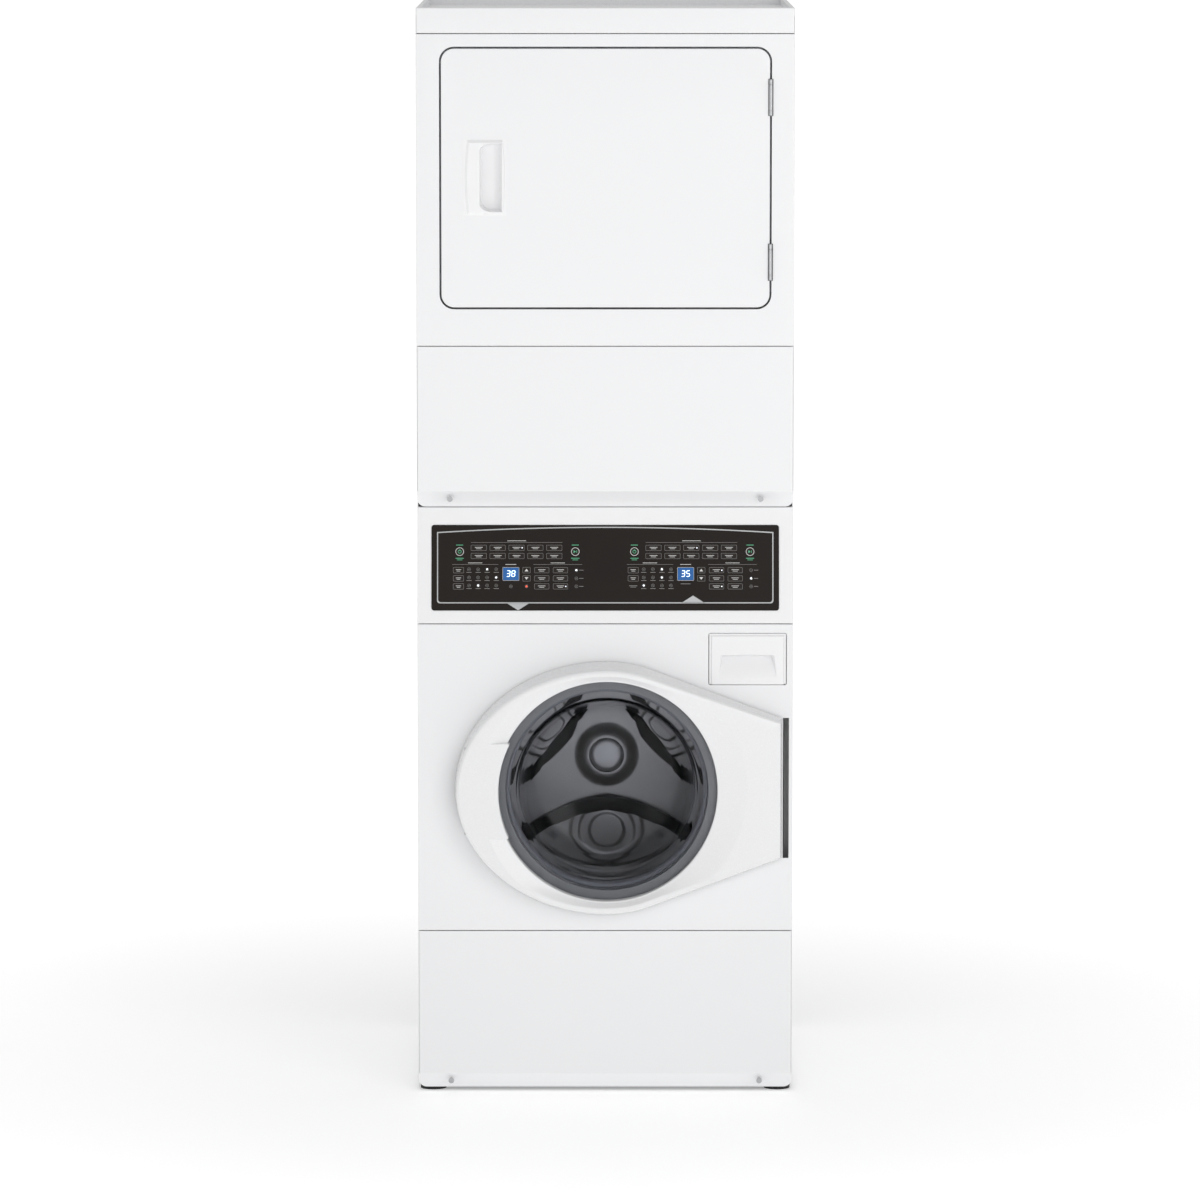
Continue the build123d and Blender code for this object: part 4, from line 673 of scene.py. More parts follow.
        tiny = 1e-4
        spokes = []
        for angle in self.directions():
            if min(abs(angle - in_high), abs(angle - in_low)) > 0.004:
                spokes.append((angle, outer(angle), in_high < angle < in_low))
        for edge, outer_edge, sign in ((in_high, out_high, 1), (in_low, out_low, -1)):
            spokes.append((edge - sign * tiny, outer_edge - sign * tiny, False))
            spokes.append((edge + sign * tiny, outer_edge + sign * tiny, True))
        return sorted(spokes, key=lambda spoke: spoke[0])

    def ring(self) -> bpy.types.Object:
        """Build the moulded ring."""
        kit = MeshKit("door_ring_moulding")
        rows = self.ring_rows(self.spokes_with_block())
        kit.grid(rows + [rows[0]], closed=True)
        return kit.finish(RING_ABS.build(), smooth_angle=24.0)

    def window(self) -> bpy.types.Object:
        """Build the smoked bowl: a closed shell of even wall."""
        top = self.face_height - self.window_sink - 0.3
        outside = [(209.0, top), (209.0, top - 5), (184.0, top - 6), (172.0, top - 12),
                   (167.0, 10.0), (163.0, -12.0), (158.0, -38.0), (151.0, -64.0),
                   (142.0, -84.0), (134.0, -95.0), (124.0, -100.0), (0.001, -100.0)]
        inside = [(0.001, -95.5), (122.0, -95.5), (131.0, -91.0), (138.0, -81.0),
                  (146.5, -62.0), (153.5, -37.0), (158.5, -11.0), (162.5, 11.0),
                  (167.5, 18.5), (180.0, top - 1.0), (196.0, top)]
        kit = MeshKit("door_window_bowl")
        count = 144
        rows = [[self.place(x, z, height) for x, z in circle(radius, count)]
                for radius, height in outside + inside]
        kit.grid(rows + [rows[0]], closed=True)
        return kit.finish(TintedBowl().build(), smooth_angle=50.0)

    def build(self) -> None:
        """Build and dress the whole door."""
        settle(self.ring(), "washer_door", ["washer_door_ring"])
        settle(self.window(), "washer_door", ["washer_door_window"])
        dress("washer_door_frame", GREY_PP)
        dress("washer_hinge_arms", ZINC_PLATE)


# ---------------------------------------------------------------- control console


@dataclass
class PrintPlane:
    """The leaning face of the overlay: places flat marks in millimetres from its centre.

    Attributes:
        foot_y: Y of the console's front edge at its foot, in metres.
        foot_z: Height of the console's foot, in metres.
        lean: Lean of the face, in radians.
        centre_up: Distance from the foot to the overlay's centre along the lean.
        lift: Height of the overlay's face above the console's face.
    """

    foot_y: float
    foot_z: float
    lean: float
    centre_up: float = 101.6
    lift: float = 1.0

    def at(self, u: float, v: float, height: float) -> Point3:
        """Return the point u across and v up the face, at a height above it."""
        up = (self.centre_up + v) * MM
        out = (self.lift + height) * MM
        return (u * MM, self.foot_y + up * math.sin(self.lean) - out * math.cos(self.lean),
                self.foot_z + up * math.cos(self.lean) + out * math.sin(self.lean))


@dataclass
class InkLayer:
    """One colour of print or one kind of raised key, gathered into a single piece."""

    plane: PrintPlane
    kit: MeshKit
    finish: object
    thickness: float

    def mark(self, u: float, v: float, outline: Sequence[Point2], base: float = 0.02) -> None:
        """Add a closed flat mark centred on a place."""
        low = [self.plane.at(u + x, v + y, base) for x, y in outline]
        high = [self.plane.at(u + x, v + y, base + self.thickness) for x, y in outline]
        self.kit.prism(low, high)

    def bar(self, u: float, v: float, width: float, height: float, base: float = 0.02) -> None:
        """Add a plain bar centred on a place."""
        self.mark(u, v, rounded_rectangle(width, height, min(width, height) * 0.3, 2), base)

    def frame_line(self, u: float, v: float, outline: Sequence[Point2],
                   inner: Sequence[Point2], base: float = 0.02) -> None:
        """Add a line as the band between two outlines with the same number of points."""
        high = base + self.thickness
        rows = [[self.plane.at(u + x, v + y, h) for x, y in ring]
                for ring, h in ((outline, base), (outline, high), (inner, high), (inner, base))]
        self.kit.grid(rows + [rows[0]], closed=True)

    def ring(self, u: float, v: float, radius: float, width: float, count: int = 28) -> None:
        """Add a round line."""
        self.frame_line(u, v, circle(radius, count), circle(radius - width, count))

    def outline_key(self, u: float, v: float, width: float, height: float,
                    line: float = 0.5, corner: float = 1.6) -> None:
        """Add a thin outline round a key."""
        self.frame_line(u, v, rounded_rectangle(width, height, corner),
                        rounded_rectangle(width - 2 * line, height - 2 * line, corner - line))


@dataclass(frozen=True)
class Machine:
    """How one half of the control panel differs from the other.

    Attributes:
        centre: Place of its display's centre across the overlay.
        digits: The number that its display shows.
        lit_levels: Column and row of the lit level lamps.
        side_keys: How many keys stand left of the level lamps.
        lit_options: Column and row of the lit option lamps.
        lit_status: Row of the lit status lamp.
        pointer_up: Whether its pointer on the border points up.
        pointer_at: Place of that pointer across the overlay.
        bottom_lamps: Whether lamps stand under its display.
    """

    centre: float
    digits: str
    lit_levels: tuple[tuple[int, int], ...]
    side_keys: int
    lit_options: tuple[tuple[int, int], ...]
    lit_status: int
    pointer_up: bool
    pointer_at: float
    bottom_lamps: bool


WASHER_SIDE = Machine(-171.5, "38", ((2, 0), (3, 1), (1, 2)), 3, ((1, 2),), 0, False, -158.5, True)
DRYER_SIDE = Machine(146.2, "35", ((2, 0), (2, 1), (0, 2)), 2, ((0, 0), (0, 2)), 1, True, 159.6,
                     False)
SEGMENTS = {"3": "abgcd", "5": "afgcd", "8": "abcdefg"}


@dataclass
class ControlConsole:
    """The overlay with its printed lines, keys, lamps and two displays."""

    cycle_columns: int = 5
    cycle_first: float = -58.4
    cycle_pitch: float = 34.3
    cycle_rows: tuple[float, float] = (47.4, 32.6)
    cycle_key: Point2 = (28.7, 10.4)
    rows: tuple[float, float, float] = (6.8, -8.1, -22.7)
    level_columns: tuple[float, ...] = (-76.2, -59.5, -43.2, -26.7)
    side_column: float = -95.3
    side_key: Point2 = (19.4, 10.8)
    option_columns: tuple[float, float] = (56.1, 90.1)
    option_key: Point2 = (26.9, 10.4)
    arrow_column: float = 28.4
    arrow_key: Point2 = (14.3, 10.8)
    status_column: float = 119.0
    display: Point2 = (28.6, 22.7)
    power_at: Point2 = (-93.1, 40.5)
    start_at: Point2 = (117.1, 40.5)
    round_key: float = 7.6
    lamp_radius: float = 1.5
    lamp_ring: float = 3.0
    lean_back: float = 30.0
    border: Point2 = (611.6, 130.2)
    border_rise: float = 9.5
    border_width: float = 2.0
    border_foot: float = -64.8
    border_head: float = 65.0
    border_corner: float = 5.0
    pointer: Point2 = (21.0, 13.4)
    key_round: float = 1.6
    key_line: float = 0.9
    on_key: float = 0.26  # height of the print on a key's dome
    digit_pitch: float = 9.0
    display_below: float = 11.2  # the display's centre below the overlay's
    headings: tuple[tuple[float, ...], ...] = (
        (10.6, 57.2, 166.3, 3.0, 34.0), (-64.9, 17.2, 84.1, 2.8, 26.0),
        (85.2, 17.2, 88.6, 2.8, 26.0))  # across, up, rule length, rise to its words, their length

    def __post_init__(self) -> None:
        """Find the leaning face and start one layer for each ink."""
        low, high = node_box("control_housing")
        lean = math.atan2(self.lean_back * MM, high.z - low.z)
        plane = PrintPlane(node_box("washer_front_panel")[0].y, low.z, lean)
        self.plane = plane

        def layer(name: str, finish: object, thickness: float) -> InkLayer:
            return InkLayer(plane, MeshKit(name), finish, thickness)

        self.white = layer("overlay_print_white", INK_WHITE, 0.06)
        self.grey = layer("overlay_print_grey", INK_GREY, 0.06)
        self.green = layer("overlay_print_green", INK_GREEN, 0.06)
        self.silver = layer("overlay_border_foil", INK_SILVER, 0.10)
        self.keys = layer("overlay_key_domes", KEY_FILM, 0.25)
        self.lit = layer("overlay_lamps_white", LAMP_WHITE, 0.12)
        self.red = layer("overlay_lamp_red", LAMP_RED, 0.12)
        self.window = layer("overlay_displays", DISPLAY_GLASS, 0.10)
        self.digits = layer("overlay_digits", DIGIT_LIGHT, 0.06)

    def label(self, u: float, v: float, width: float, lines: int = 1, ink: object = None) -> None:
        """Print plain bars where a panel of this kind has words.

        Args:
            u: Centre across.
            v: Height of the first line.
            width: Length of the longest line.
            lines: Number of lines.
            ink: The layer to print in, grey by default.
        """
        layer = ink or self.grey
        for line in range(lines):
            share = 1.0 if line % 2 == 0 else 0.72
            layer.bar(u, v - 2.4 * line, width * share, 0.9)

    def lamp(self, u: float, v: float, lit: bool, layer: Optional[InkLayer] = None) -> None:
        """Add a lamp with its ring, lit or dark."""
        self.grey.ring(u, v, self.lamp_ring, 0.45, 20)
        if lit:
            (layer or self.lit).mark(u, v, circle(self.lamp_radius, 14))
        else:
            self.grey.ring(u, v, self.lamp_radius * 0.8, 0.4, 14)

    def key_dome(self, u: float, v: float, size: Point2) -> None:
        """Add a key's dome and the line round it."""
        ring = rounded_rectangle(*size, self.key_round)
        inner = rounded_rectangle(size[0] - self.key_line, size[1] - self.key_line, 1.2)
        self.keys.mark(u, v, ring, 0.0)
        self.grey.frame_line(u, v, ring, inner, self.on_key)

    def key(self, u: float, v: float, size: Point2, lit: bool = False) -> None:
        """Add a pressed key dome with its outline and a plain label bar."""
        self.key_dome(u, v, size)
        self.white.bar(u, v + 0.9, size[0] * 0.5, 0.9, self.on_key)
        self.white.bar(u, v - 1.7, size[0] * 0.34, 0.8, self.on_key)
        if lit:
            self.lit.mark(u + size[0] * 0.36, v, circle(0.9, 12), self.on_key)

    def round_button(self, u: float, v: float, start: bool) -> None:
        """Add a round key with a white ring, a green sign and green label bars."""
        self.keys.mark(u, v, circle(self.round_key - 1, 32), 0.0)
        self.white.ring(u, v, self.round_key, 1.1, 40)
        if start:
            self.green.mark(u - 1.2, v, [(-1.9, -2.6), (2.2, 0.0), (-1.9, 2.6)],
                            self.on_key)
            self.green.bar(u + 2.6, v, 0.9, 4.6, self.on_key)
        else:
            self.green.frame_line(u, v, circle(3.3, 24), circle(2.4, 24), self.on_key)
            self.green.bar(u, v + 2.6, 0.9, 3.4, 0.33)
        self.green.bar(u, v + 12.0, 13.0, 1.2)
        self.green.bar(u, v - 12.0, 15.0, 1.2)
        self.green.bar(u, v - 15.0, 10.0, 1.0)

    def digit(self, u: float, v: float, name: str, width: float = 5.6,
              height: float = 10.4) -> None:
        """Draw one seven-segment digit, leaning a little."""
        w, h, t = width / 2, height / 2, 0.62
        bars = {"a": (0, h, 1), "g": (0, 0, 1), "d": (0, -h, 1), "f": (-w, h / 2, 0),
                "b": (w, h / 2, 0), "e": (-w, -h / 2, 0), "c": (w, -h / 2, 0)}
        for segment in SEGMENTS[name]:
            x, y, flat = bars[segment]
            half = (w - t * 1.3) if flat else (h / 2 - t * 1.3)
            raw = [(-half - t, 0), (-half, -t), (half, -t), (half + t, 0), (half, t), (-half, t)]
            shape = raw if flat else [(b, a) for a, b in raw]
            self.digits.mark(u, v, [(x + a + 0.1 * (y + b), y + b) for a, b in shape], 0.13)

    def cluster(self, side: Machine) -> None:
        """Lay out one machine's keys, lamps and display."""
        c, v0 = side.centre, -self.display_below
        self.round_button(c + self.power_at[0], v0 + self.power_at[1], False)
        self.round_button(c + self.start_at[0], v0 + self.start_at[1], True)
        for u, v, length, rise, words in self.headings:
            self.grey.bar(c + u, v0 + v, length, 0.5)
            self.label(c + u, v0 + v + rise, words, ink=self.white)
        for row, v in enumerate(self.cycle_rows):
            for column in range(self.cycle_columns):
                u = c + self.cycle_first + column * self.cycle_pitch
                self.key(u, v0 + v, self.cycle_key, row == 0 and column == 2)
        for row, v in enumerate(self.rows):
            if row < side.side_keys:
                self.key(c + self.side_column, v0 + v, self.side_key)
            else:
                self.label(c + self.side_column, v0 + v + 1.2, 15.0, 2)
            for column, u in enumerate(self.level_columns):
                self.lamp(c + u, v0 + v + 1.6, (column, row) in side.lit_levels)
                self.label(c + u, v0 + v - 4.0, 9.5)
            for column, u in enumerate(self.option_columns):
                self.key(c + u, v0 + v, self.option_key, (column, row) in side.lit_options)
            self.lamp(c + self.status_column, v0 + v, row == side.lit_status)
            self.label(c + self.status_column + 9.0, v0 + v, 8.0)
        self.screen(side, c, v0)

    def screen(self, side: Machine, c: float, v0: float) -> None:
        """Add a machine's display, its up and down keys and the lamps under it."""
        self.window.mark(c, v0, rounded_rectangle(*self.display, 1.2))
        self.white.outline_key(c, v0, self.display[0] + 1.6, self.display[1] + 1.6, 0.5)
        for place, name in enumerate(side.digits):
            self.digit(c + (place - 0.5) * self.digit_pitch, v0 + 0.6, name)
        self.label(c, v0 + 17.2, 20.0, ink=self.white)
        for row, sign in ((0, 1), (1, -1)):
            v = v0 + self.rows[row]
            u = c + self.arrow_column
            self.key_dome(u, v, self.arrow_key)
            tip = [(-3.4, -2.2 * sign), (3.4, -2.2 * sign), (0.0, 2.6 * sign)]
            self.white.mark(u, v, tip if sign > 0 else tip[::-1], self.on_key)
        if side.bottom_lamps:
            self.lamp(c, v0 + self.rows[2], False)
            self.lamp(c + self.arrow_column, v0 + self.rows[2], True, self.red)
        else:
            self.label(c, v0 - 18.0, 18.0)

    def border_points(self, shrink: float) -> list[Point2]:
        """Return the border's outline: a rectangle whose top edge arches up to its centre."""
        half = self.border[0] / 2 - shrink
        low, high = self.border_foot + shrink, self.border_head - shrink
        corner = self.border_corner
        steps = 24
        points = [(-half + corner - corner * math.cos(t), low + corner - corner * math.sin(t))
                  for t in (math.pi / 2 * n / 4 for n in range(5))]
        points += [(half - corner + corner * math.sin(t), low + corner - corner * math.cos(t))
                   for t in (math.pi / 2 * n / 4 for n in range(5))]
        for n in range(steps + 1):
            x = half - 2 * half * n / steps
            rise = self.border_rise * (1 - (x / half) ** 2)
            points.append((x, high + rise))
        return points

    def build(self) -> None:
        """Build every layer and dress the console's own pieces."""
        self.cluster(WASHER_SIDE)
        self.cluster(DRYER_SIDE)
        outer, inner = self.border_points(0.0), self.border_points(self.border_width)
        self.silver.frame_line(0, 0, outer, inner)
        for side in (WASHER_SIDE, DRYER_SIDE):
            width, reach = self.pointer
            tip = reach if side.pointer_up else -reach
            shape = [(-width, 0.0), (width, 0.0), (0.0, tip)]
            self.silver.mark(side.pointer_at, -64.0, shape if side.pointer_up else shape[::-1])
        for layer in (self.white, self.grey, self.green, self.silver, self.keys, self.lit,
                      self.red, self.window, self.digits):
            made = layer.kit.finish(layer.finish.build(), smooth_angle=30.0)
            settle(made, "cabinet")
        dress("control_overlay", OVERLAY_FILM)
        dress("control_housing", WHITE_ABS)
        dress("control_board", CIRCUIT_LAMINATE)


# ---------------------------------------------------------------- wash drum


@dataclass
class WashDrum:
    """The perforated drum with its three lifters and its pressed back, seen through the window.

    Sizes are millimetres; depths are behind the cabinet's front face.
    """

    radius: float = 250.0
    front: float = 112.0
    back: float = 444.0
    mouth: float = 190.0
    sheet: float = 1.2
    hole: float = 2.6
    pitch: float = 12.4
    band: float = 20.0
    lifter_foot: float = 46.0
    lifter_crest: float = 200.0
    lifter_count: int = 3
    back_sheet: float = 1.6
    hub_radius: float = 34.0
    pad_inner: float = 78.0
    pad_outer: float = 214.0
    pad_rise: float = 20.0
    pad_half_angle: float = 46.0
    bolt_ring: float = 189.0
    bolt_spread: float = 34.0
    # Half-length and steps of the black bands of painted shade along the pads' arched upper edges.
    shade_band_half: float = 158.0
    shade_band_steps: int = 40
    tiles_round: int = 126
    tile_corners: int = 8
    centre: Vector = field(init=False)

    def __post_init__(self) -> None:
        """Take the drum's axis and the cabinet's front face from the frame."""
        low, high = node_box("washer_drum")
        front = node_box("washer_front_panel")[0].y
        self.centre = Vector(((low.x + high.x) / 2, front, (low.z + high.z) / 2))

    def at(self, x: float, z: float, depth: float) -> Point3:
        """Turn drum-centred millimetres into a point in metres."""
        return (self.centre.x + x * MM, self.centre.y + depth * MM, self.centre.z + z * MM)

    def polar(self, angle: float, radius: float, depth: float) -> Point3:
        """Return a point by its direction from the drum's axis."""
        return self.at(radius * math.cos(angle), radius * math.sin(angle), depth)

    def hoop(self, radius: float, depth: float, count: int) -> list[Point3]:
        """Return a ring of points round the drum's axis."""
        return [self.polar(math.tau * n / count, radius, depth) for n in range(count)]

    def arch(self, x: float) -> float:
        """Return how far below the axis a pad's arched upper edge runs."""
        return self.pad_inner + 0.0018 * x * x + 0.12 * abs(x)

    def shell(self) -> bpy.types.Object:
        """Build the perforated cylinder from staggered square tiles with a hole each."""
        kit = MeshKit("drum_perforated_shell")
        around = self.tiles_round
        rows = int((self.back - self.front - 2 * self.band) / self.pitch)
        depth_pitch = (self.back - self.front - 2 * self.band) / rows
        step = math.tau / around
        corners = self.tile_corners
        hoop_points = 2 * around
        for r in range(rows):
            shift = 0.5 * (r % 2)
            y = self.front + self.band + (r + 0.5) * depth_pitch
            for n in range(around):
                mid = (n + shift) * step
                base = len(kit.points)
                turns = [math.tau * c / corners for c in range(corners)]
                for turn in turns:
                    reach = max(abs(math.cos(turn)), abs(math.sin(turn)))
                    edge_a = mid + 0.5 * step * math.cos(turn) / reach
                    edge_y = y + 0.5 * depth_pitch * math.sin(turn) / reach
                    kit.points.append(self.polar(edge_a, self.radius, edge_y))
                for turn in turns:
                    hole_a = mid + self.hole / self.radius * math.cos(turn)
                    kit.points.append(self.polar(hole_a, self.radius,
                                                 y + self.hole * math.sin(turn)))
                for c in range(corners):
                    d = (c + 1) % corners
                    kit.faces.append((base + c, base + d, base + corners + d, base + corners + c))
        for y0, y1 in ((self.front, self.front + self.band), (self.back - self.band, self.back)):
            kit.grid([self.hoop(self.radius, y, hoop_points) for y in (y0, (y0 + y1) / 2, y1)],
                     closed=True)
        profile = [(self.radius, self.front), (self.mouth + 14, self.front),
                   (self.mouth + 8, self.front + 2), (self.mouth + 6, self.front + 6)]
        kit.grid([self.hoop(radius, y, hoop_points) for radius, y in profile], closed=True)
        made = kit.finish(STAINLESS.build(), smooth_angle=50.0)
        wall = made.modifiers.new("sheet_thickness", "SOLIDIFY")
        wall.thickness = self.sheet * MM
        wall.offset = 0.0
        return made

    def lifters(self) -> bpy.types.Object:
        """Build the three hollow lifters: long rounded ridges along the drum."""
        kit = MeshKit("drum_lifter_ridges")
        profile = [(-1.0, 0.0), (-0.9, 0.12), (-0.62, 0.62), (-0.42, 0.88), (-0.2, 0.98),
                   (0.0, 1.0), (0.2, 0.98), (0.42, 0.88), (0.62, 0.62), (0.9, 0.12), (1.0, 0.0)]
        rise = self.radius - self.lifter_crest
        for turn in range(self.lifter_count):
            middle = math.pi / 2 + turn * math.tau / self.lifter_count
            rows = []
            for depth, share in ((self.front + 10, 0.02), (self.front + 16, 0.55),
                                 (self.front + 34, 0.93), (self.front + 60, 1.0),
                                 (self.back - 70, 1.0), (self.back - 30, 0.9),
                                 (self.back - 12, 0.5), (self.back - 3, 0.05)):
                rows.append([self.polar(middle + side * self.lifter_foot * (0.72 + 0.28 * share)
                                        / self.radius, self.radius - 1 - rise * up * share, depth)
                             for side, up in profile])
            kit.grid(rows)
            kit.grid([[self.polar(middle + side * self.lifter_foot / self.radius,
                                  self.radius - 0.6, depth) for side in (-1.0, 0.0, 1.0)]
                      for depth in (self.front + 10, self.back - 3)])
        return kit.finish(STAINLESS_PRESSED.build(), smooth_angle=60.0)

    def back_height(self, angle: float, radius: float) -> float:
        """Return how far the pressed back stands forward at a place.

        Args:
            angle: Direction from the drum's axis.
            radius: Distance from the drum's axis.

        Returns:
            Millimetres in front of the flat back.
        """
        def ease(t: float) -> float:
            t = min(1.0, max(0.0, t))
            return t * t * (3 - 2 * t)

        hub = 14.0 * (1 - ease((radius - self.hub_radius - 2) / 26))
        rim = 6.0 * ease((radius - 226) / 14)
        third = math.tau / 3
        off = (angle + math.pi / 2 + third / 2) % third - third / 2
        x, down = radius * math.sin(off), radius * math.cos(off)
        pad = ease((down - self.arch(x)) / 9) * (1 - ease((radius - self.pad_outer) / 8))
        pad *= 1 - ease((abs(off) - math.radians(self.pad_half_angle)) / 0.10)
        ring = 0.0
        for middle, width, height in ((142.0, 66.0, 5.0), (142.0, 50.0, -3.5), (142.0, 30.0, 4.0)):
            away = math.hypot(x, down - middle)
            ring += height * (1 - ease((away - width) / 5))
        return hub + rim + pad * self.pad_rise + pad * ring * 0.8

    def back_plate(self) -> bpy.types.Object:
        """Build the pressed back as a fine polar relief with a turned-over rim."""
        kit = MeshKit("drum_back_pressing")
        count, steps = 360, 110
        rows = []
        for s in range(steps + 1):
            radius = max(0.01, self.radius * s / steps)
            rows.append([self.polar(math.tau * n / count, radius,
                                    self.back - self.back_height(math.tau * n / count, radius))
                         for n in range(count)])
        behind = [self.hoop(radius, self.back + self.back_sheet, count)
                  for radius in (self.radius, self.radius / 2, 0.01)]
        kit.grid(rows + behind, closed=True)
        return kit.finish(STAINLESS_PRESSED.build(), smooth_angle=60.0)

    def trim(self) -> None:
        """Add the hub's cover, black bands of painted shade along the pads' arched upper edges,
        and the pads' bolts.
        """
        hub = MeshKit("drum_hub_cover")
        profile = [(0.01, 17.4), (22.0, 17.2), (30.0, 16.0), (33.0, 14.4), (33.6, 12.0)]
        hub.grid([self.hoop(radius, self.back - height, 72) for radius, height in profile],
                 closed=True)
        settle(hub.finish(ZINC_PLATE.build(), smooth_angle=50.0), "washer_basket")
        # Black bands of painted shade: they lie where each pad's arched upper edge is in shade on
        # the pressed back.
        shade_bands = MeshKit("drum_pad_painted_shade_bands")
        bolts = MeshKit("drum_pad_bolts")
        for turn in range(self.lifter_count):
            middle = -math.pi / 2 + turn * math.tau / 3
            across = (math.cos(middle + math.pi / 2), math.sin(middle + math.pi / 2))
            down = (math.cos(middle), math.sin(middle))

            def spot(x: float, d: float, height: float) -> Point3:
                return self.at(x * across[0] + d * down[0], x * across[1] + d * down[1],
                               self.back - height)

            rows = []
            for n in range(self.shade_band_steps + 1):
                x = self.shade_band_half * (2 * n / self.shade_band_steps - 1)
                rows.append([spot(x, self.arch(x) + d, h) for d, h in
                             ((-3, 1.0), (-4, 15.0), (-2, 23.5), (3, 25.0), (20, 25.0),
                              (25, 23.5), (27, 17.0))])
            shade_bands.grid(rows)
            for sign in (-1, 1):
                aim = middle + sign * math.radians(self.bolt_spread)
                x0 = self.bolt_ring * math.cos(aim)
                z0 = self.bolt_ring * math.sin(aim)
                for radius, count, low, high in ((8.5, 24, 20.0, 22.4), (5.6, 6, 22.4, 27.0)):
                    bolts.prism(*([self.at(x0 + x, z0 + z, self.back - height)
                                   for x, z in circle(radius, count)] for height in (low, high)))
        settle(shade_bands.finish(BLACK_RUBBER_AND_PAINTED_SHADE.build(), smooth_angle=50.0), "washer_basket")
        settle(bolts.finish(ZINC_PLATE.build(), bevel_mm=0.4, smooth_angle=40.0),
               "washer_basket")

    def build(self) -> None:
        """Build the drum and hand its pieces over."""
        settle(self.shell(), "washer_basket", ["washer_drum"])
        settle(self.lifters(), "washer_basket", ["drum_lifters"])
        settle(self.back_plate(), "washer_basket", ["drum_back"])
        self.trim()


# ---------------------------------------------------------------- dryer door


def relief(kit: MeshKit, corner: Point2, size: Point2, front: float, cell: float,
           depth: Callable[[float, float], float], behind: float) -> None:
    """Add a thin plate whose front follows a depth function.

    Args:
        kit: Where the faces go.
        corner: Lowest X and Z, in millimetres.
        size: Width and height, in millimetres.
        front: Y of the zero depth, in millimetres.
        cell: Size of one face, in millimetres.
        depth: Depth behind zero at a place given from the plate's centre, in millimetres.
        behind: Depth of the flat skirt's edge, in millimetres.
    """
    across, up = round(size[0] / cell), round(size[1] / cell)
    middle = (corner[0] + size[0] / 2, corner[1] + size[1] / 2)

    def spot(c: int, r: int, fixed: Optional[float] = None) -> Point3:
        x = size[0] * (c / across - 0.5)
        z = size[1] * (r / up - 0.5)
        away = depth(x, z) if fixed is None else fixed
        return ((middle[0] + x) * MM, (front + away) * MM, (middle[1] + z) * MM)

    rows = [[spot(c, r) for c in range(across + 1)] for r in range(up + 1)]
    kit.grid(rows)
    for r in (0, up):
        kit.grid([rows[r], [spot(c, r, behind) for c in range(across + 1)]])
    for c in (0, across):
        kit.grid([[row[c] for row in rows], [spot(c, r, behind) for r in range(up + 1)]])


@dataclass
class DryerDoorPull:
    """The moulded finger pull: a bowed raised plate with a D-shaped pocket."""

    rim: float = 1.2
    rise: float = 3.2
    bevel_left: float = 4.6
    bevel_right: float = 2.4
    half_waist: float = 36.6
    half_end: float = 32.4
    half_height: float = 67.3
    corner: float = 3.0
    pocket_left: float = -9.8
    pocket_right: float = 30.4
    pocket_half: float = 62.0
    pocket_left_half: float = 47.0
    pocket_curve: float = 24.0
    pocket_depth: float = 21.0
    shoulder: float = 0.58
    wall_slope: float = 5.0
    cell: float = 0.75

    def depth(self, x: float, z: float) -> float:
        """Return the depth behind the door's face at a place on the plate."""
        share = min(1.0, abs(z) / self.half_height)
        half = self.half_waist - (self.half_waist - self.half_end) * share ** 2
        side = half - abs(x)
        end = self.half_height - abs(z)
        inside = min(side, end)
        if side < self.corner and end < self.corner:
            inside = self.corner - math.hypot(self.corner - side, self.corner - end)
        bevel = self.bevel_left if x < 0 or z > 0 and end < side else self.bevel_right
        lift = self.rise * min(1.0, max(0.0, inside / bevel))
        return -0.12 - lift + self.pocket(x, z)

    def pocket(self, x: float, z: float) -> float:
        """Return how deep the pocket is at a place."""
        along = x - self.pocket_left
        if along <= 0 or x >= self.pocket_right:
            return 0.0
        bend = max(0.0, 1 - along / self.pocket_curve)
        drop = self.pocket_half - self.pocket_left_half
        half = self.pocket_half - drop * (1 - math.sqrt(max(0.0, 1 - bend ** 2)))
        inside = min(along * 1.8, half - abs(z), (self.pocket_right - x) * 2.0)
        if inside <= 0:
            return 0.0
        t = along / (self.pocket_right - self.pocket_left)
        floor = self.pocket_depth - 2.5 * t
        if t > self.shoulder:
            late = (t - self.shoulder) / (1 - self.shoulder)
            floor *= math.sqrt(max(0.0, 1 - late ** 2)) * 0.93 + 0.07
        return min(floor, inside * self.wall_slope)

    def build(self) -> None:
        """Build the pull in the door's opening."""
        low, high = node_box("dryer_door_pull")
        kit = MeshKit("dryer_pull_moulding")
        corner = (low.x / MM - self.rim, low.z / MM - self.rim)
        size = ((high.x - low.x) / MM + 2 * self.rim, (high.z - low.z) / MM + 2 * self.rim)
        relief(kit, corner, size, low.y / MM, self.cell, self.depth, 0.4)
        made = kit.finish(WHITE_ABS.build(), smooth_angle=42.0)
        settle(made, "dryer_door", ["dryer_door_pull"])


# ---------------------------------------------------------------- detergent drawer


